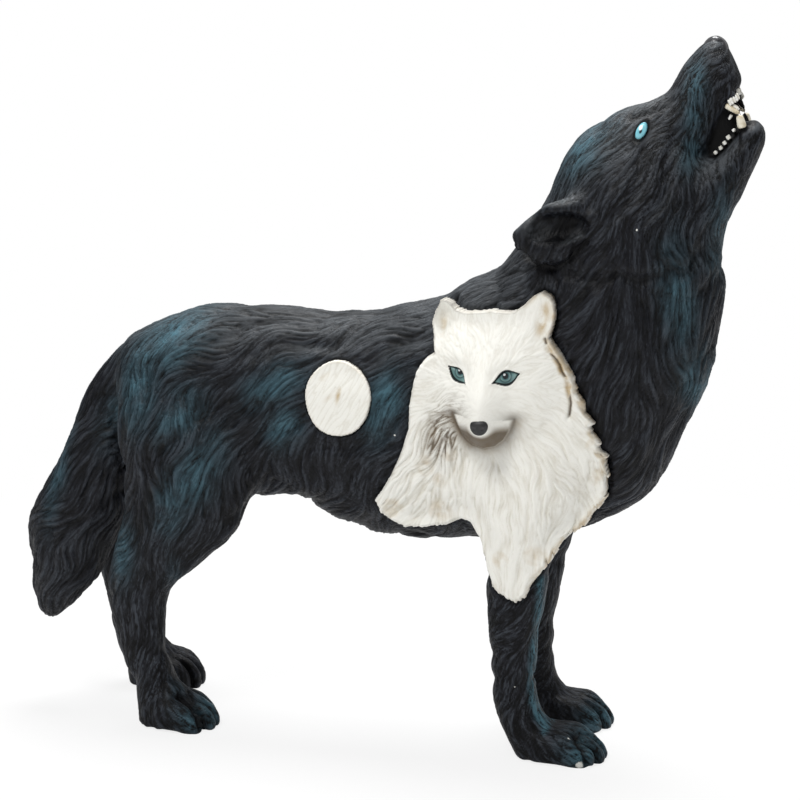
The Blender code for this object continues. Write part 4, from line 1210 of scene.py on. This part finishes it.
def makeMoon():
    turns = np.linspace(0, 2 * np.pi, 73)[:-1]
    (cx, cz), (halfX, halfZ), cell = moonPlace["centre"], moonPlace["half"], moonPlace["cell"]
    wave = 1.0 + 0.012 * np.sin(3 * turns + 1.0) + 0.010 * np.sin(5 * turns)
    outline = np.stack([cx + halfX * wave * np.cos(turns), cz + halfZ * wave * np.sin(turns)], axis=1)
    coarse, low = cadFace(outline, 0.8, 0.8)
    x, z = np.meshgrid(np.arange(cx - 10, cx + 10, cell), np.arange(cz - 10, cz + 10, cell), indexing="ij")
    face = blurredGrid(mapAt(coarse, low, x, z, 0.8), 20)
    within = insideBy(outline, x, z)
    spots = np.stack([x.ravel(), 0 * x.ravel(), z.ravel()], axis=1)
    lean = np.array([cos(radians(moonPlace["grain"])), 0.0, sin(radians(moonPlace["grain"]))])
    fine = combed(spots, lambda here: np.tile(lean, (len(here), 1)), [(0.26, 3.0)], 0.4)[0].reshape(x.shape)
    ridge = strand(fine, 1.3)
    share = np.clip((within + 0.3) / 0.5, 0.0, 1.0)
    front = face + 0.30 + 0.12 * (1 - ridge) + 0.4 * (1 - share) ** 2
    stain = 0.9 * hill(x, z, (cx + 0.3, cz + 1.2), (0.6, 2.6), -12)
    stain += 0.4 * hill(x, z, (cx - 2.2, cz + 0.2), (2.4, 0.8), 40)
    stain += 0.4 * hill(x, z, (cx - 4.0, cz + 4.5), (2.6, 1.2), 45) + 0.3 * softStep(-within, -1.2, 0.0)
    zero = np.zeros(x.shape)
    layers = {"crest": ridge, "furDepth": zero + 0.35, "stain": stain, "soot": zero, "liner": zero}
    moon = reliefPiece("pale_moon", x, front, z, within > -0.32, 3.0, layers)
    moon.data.materials.append(bust.data.materials[0])


makeMoon()
print("moon made")


# the bust's eyes and nose

def makeBustEyes():
    for (centre, turn, half, iris), side in zip(bustFace["eyes"], ("left", "right")):
        lean = radians(turn)
        across, up = (cos(lean), 0.0, sin(lean)), (-sin(lean), 0.0, cos(lean))
        xs, zs = np.arange(centre[0] - 3.6, centre[0] + 3.6, 0.11), np.arange(centre[1] - 3.0, centre[1] + 3.0, 0.11)
        x, z = np.meshgrid(xs, zs, indexing="ij")
        shape = almond(x, z, centre, half, turn)
        front = bustGround(x, z) + 0.50 - 0.55 * np.clip(shape + 0.1, 0.0, 1.1) ** 0.7
        rim = softStep(-shape, -0.24 - 0.10 * softStep(z - centre[1], -0.5, 1.0), -0.06)
        # a painted highlight beside the iris
        glint = (iris[0] - 0.30, 0.0, iris[1] + 0.35)
        look = {
            "iris": (1.25, 1.30), "reach": 2.4, "glints": ((glint, (0.27, 0.27)),),
            "rim": (0.006, 0.010, 0.011, 1),
            "rings": ((0.0, (0.006, 0.010, 0.012, 1)), (0.19, (0.006, 0.010, 0.012, 1)),
                      (0.25, (0.06, 0.15, 0.155, 1)), (0.36, (0.17, 0.28, 0.27, 1)), (0.42, (0.03, 0.07, 0.075, 1)),
                      (0.52, (0.11, 0.22, 0.22, 1)), (0.75, (0.22, 0.36, 0.34, 1)), (1.0, (0.06, 0.14, 0.14, 1))),
        }
        piece = reliefPiece("bust_eye_" + side, x, front, z, shape > -0.30, 1.2, {"rim": rim})
        middle = (iris[0], 0.0, iris[1])
        piece.data.materials.append(eyeMaterial("bust_eye_paint_" + side, middle, across, up, look))


def makeBustNose():
    x, z = bustFace["nose"]
    y = float(bustGround(np.array([x]), np.array([z]))[0])
    spot = (x * mm, (y + 0.1) * mm, z * mm)
    bpy.ops.mesh.primitive_uv_sphere_add(segments=64, ring_count=48, radius=mm, location=spot)
    nose = bpy.context.active_object

    def shaped(points):
        # broad at the top, narrow below, with two nostrils
        px, py, pz = points.T / mm
        width = 1.0 + 0.22 * softStep(pz, -0.8, 0.7)
        flat = np.sign(pz) * np.abs(pz) ** 0.85
        nostril = np.exp(-((np.abs(px) - 0.48) / 0.17) ** 2 - ((pz + 0.12) / 0.16) ** 2)
        nostril = nostril * softStep(-py, 0.1, 0.5)
        return np.stack([px * width, py * (1 - 0.28 * nostril), flat], axis=1) * mm

    reshape(nose, shaped)
    nose.scale = (1.85, 1.1, 1.85)
    charcoal, darker = (0.022, 0.021, 0.022, 1), (0.010, 0.010, 0.010, 1)
    finishPiece(nose, "bust_nose", paintMaterial("nose_charcoal", charcoal, darker, 0.50, 800))


makeBustEyes()
makeBustNose()
print("bust: eyes and nose made")


# floor, light and camera

stageSizes = {
    "floor": 6.0,                    # m
    "nearWhite": 0.80,               # how bright the floor looks under the wolf, before its shadow
    "room": 0.34,                    # strength of the room's light on the object
    "lamps": {                       # place in m, size in m, power in W
        "key_light": ((-0.12, -0.52, 0.74), 0.28, 4.1),
        "top_light": ((0.02, 0.24, 0.82), 0.45, 8.0),
    },
    "lampTarget": (0.01, 0.0, 0.08),
}
cameraPlace = {
    "turn": 15, "rise": 10,          # degrees round to the head and upwards
    "distance": 0.560,
    "target": (0.00606, 0.00257, 0.083),
    "lens": 102.56,
}


def cameraRay(tree):
    return tree.nodes.new("ShaderNodeLightPath").outputs["Is Camera Ray"]


def makeFloor():
    bpy.ops.mesh.primitive_plane_add(size=stageSizes["floor"], location=(0, 0, 0))
    floor = bpy.context.active_object
    floor.name = "floor"
    material, tree, shader = newMaterial("pale_floor")
    shader.inputs["Base Color"].default_value = (0.80, 0.80, 0.80, 1)
    shader.inputs["Roughness"].default_value = 0.9
    glow = tree.nodes.new("ShaderNodeEmission")
    glow.inputs["Strength"].default_value = 1.0
    away = vectorMaths(tree, "LENGTH", objectPlace(tree), output="Value")
    fade = mapped(tree, away, 0.08, 0.30, stageSizes["nearWhite"], 1.0)
    mix = tree.nodes.new("ShaderNodeMixShader")
    feed(tree, mix.inputs[0], maths(tree, "MULTIPLY", cameraRay(tree), fade))
    feed(tree, mix.inputs[1], shader.outputs["BSDF"])
    feed(tree, mix.inputs[2], glow.outputs["Emission"])
    feed(tree, tree.nodes["Material Output"].inputs["Surface"], mix.outputs["Shader"])
    floor.data.materials.append(material)


def makeRoom():
    # seen by the camera as white, but lighting the object softly
    world = bpy.data.worlds.new("soft_room")
    bpy.context.scene.world = world
    world.use_nodes = True
    background = world.node_tree.nodes["Background"]
    background.inputs["Color"].default_value = (1, 1, 1, 1)
    strength = mapped(world.node_tree, cameraRay(world.node_tree), 0.0, 1.0, stageSizes["room"], 1.0)
    feed(world.node_tree, background.inputs["Strength"], strength)


def makeLamp(name, place, size, power):
    bpy.ops.object.light_add(type="AREA", location=place)
    lamp = bpy.context.active_object
    lamp.name = name
    lamp.data.size = size
    lamp.data.energy = power
    aim = Vector(stageSizes["lampTarget"]) - Vector(place)
    lamp.rotation_euler = aim.to_track_quat("-Z", "Y").to_euler()


def makeCamera():
    turn, rise = radians(cameraPlace["turn"]), radians(cameraPlace["rise"])
    target = Vector(cameraPlace["target"])
    place = target + cameraPlace["distance"] * Vector((sin(turn) * cos(rise), -cos(turn) * cos(rise), sin(rise)))
    bpy.ops.object.camera_add(location=place)
    camera = bpy.context.active_object
    camera.rotation_euler = (target - place).to_track_quat("-Z", "Y").to_euler()
    camera.data.lens = cameraPlace["lens"]
    camera.data.sensor_width = 36.0
    camera.data.clip_start = 0.01
    bpy.context.scene.camera = camera


makeFloor()
makeRoom()
for lampName, (lampPlace, lampSize, lampPower) in stageSizes["lamps"].items():
    makeLamp(lampName, lampPlace, lampSize, lampPower)
makeCamera()
bpy.context.scene.view_settings.view_transform = "Standard"
print("stage, lights and camera ready")
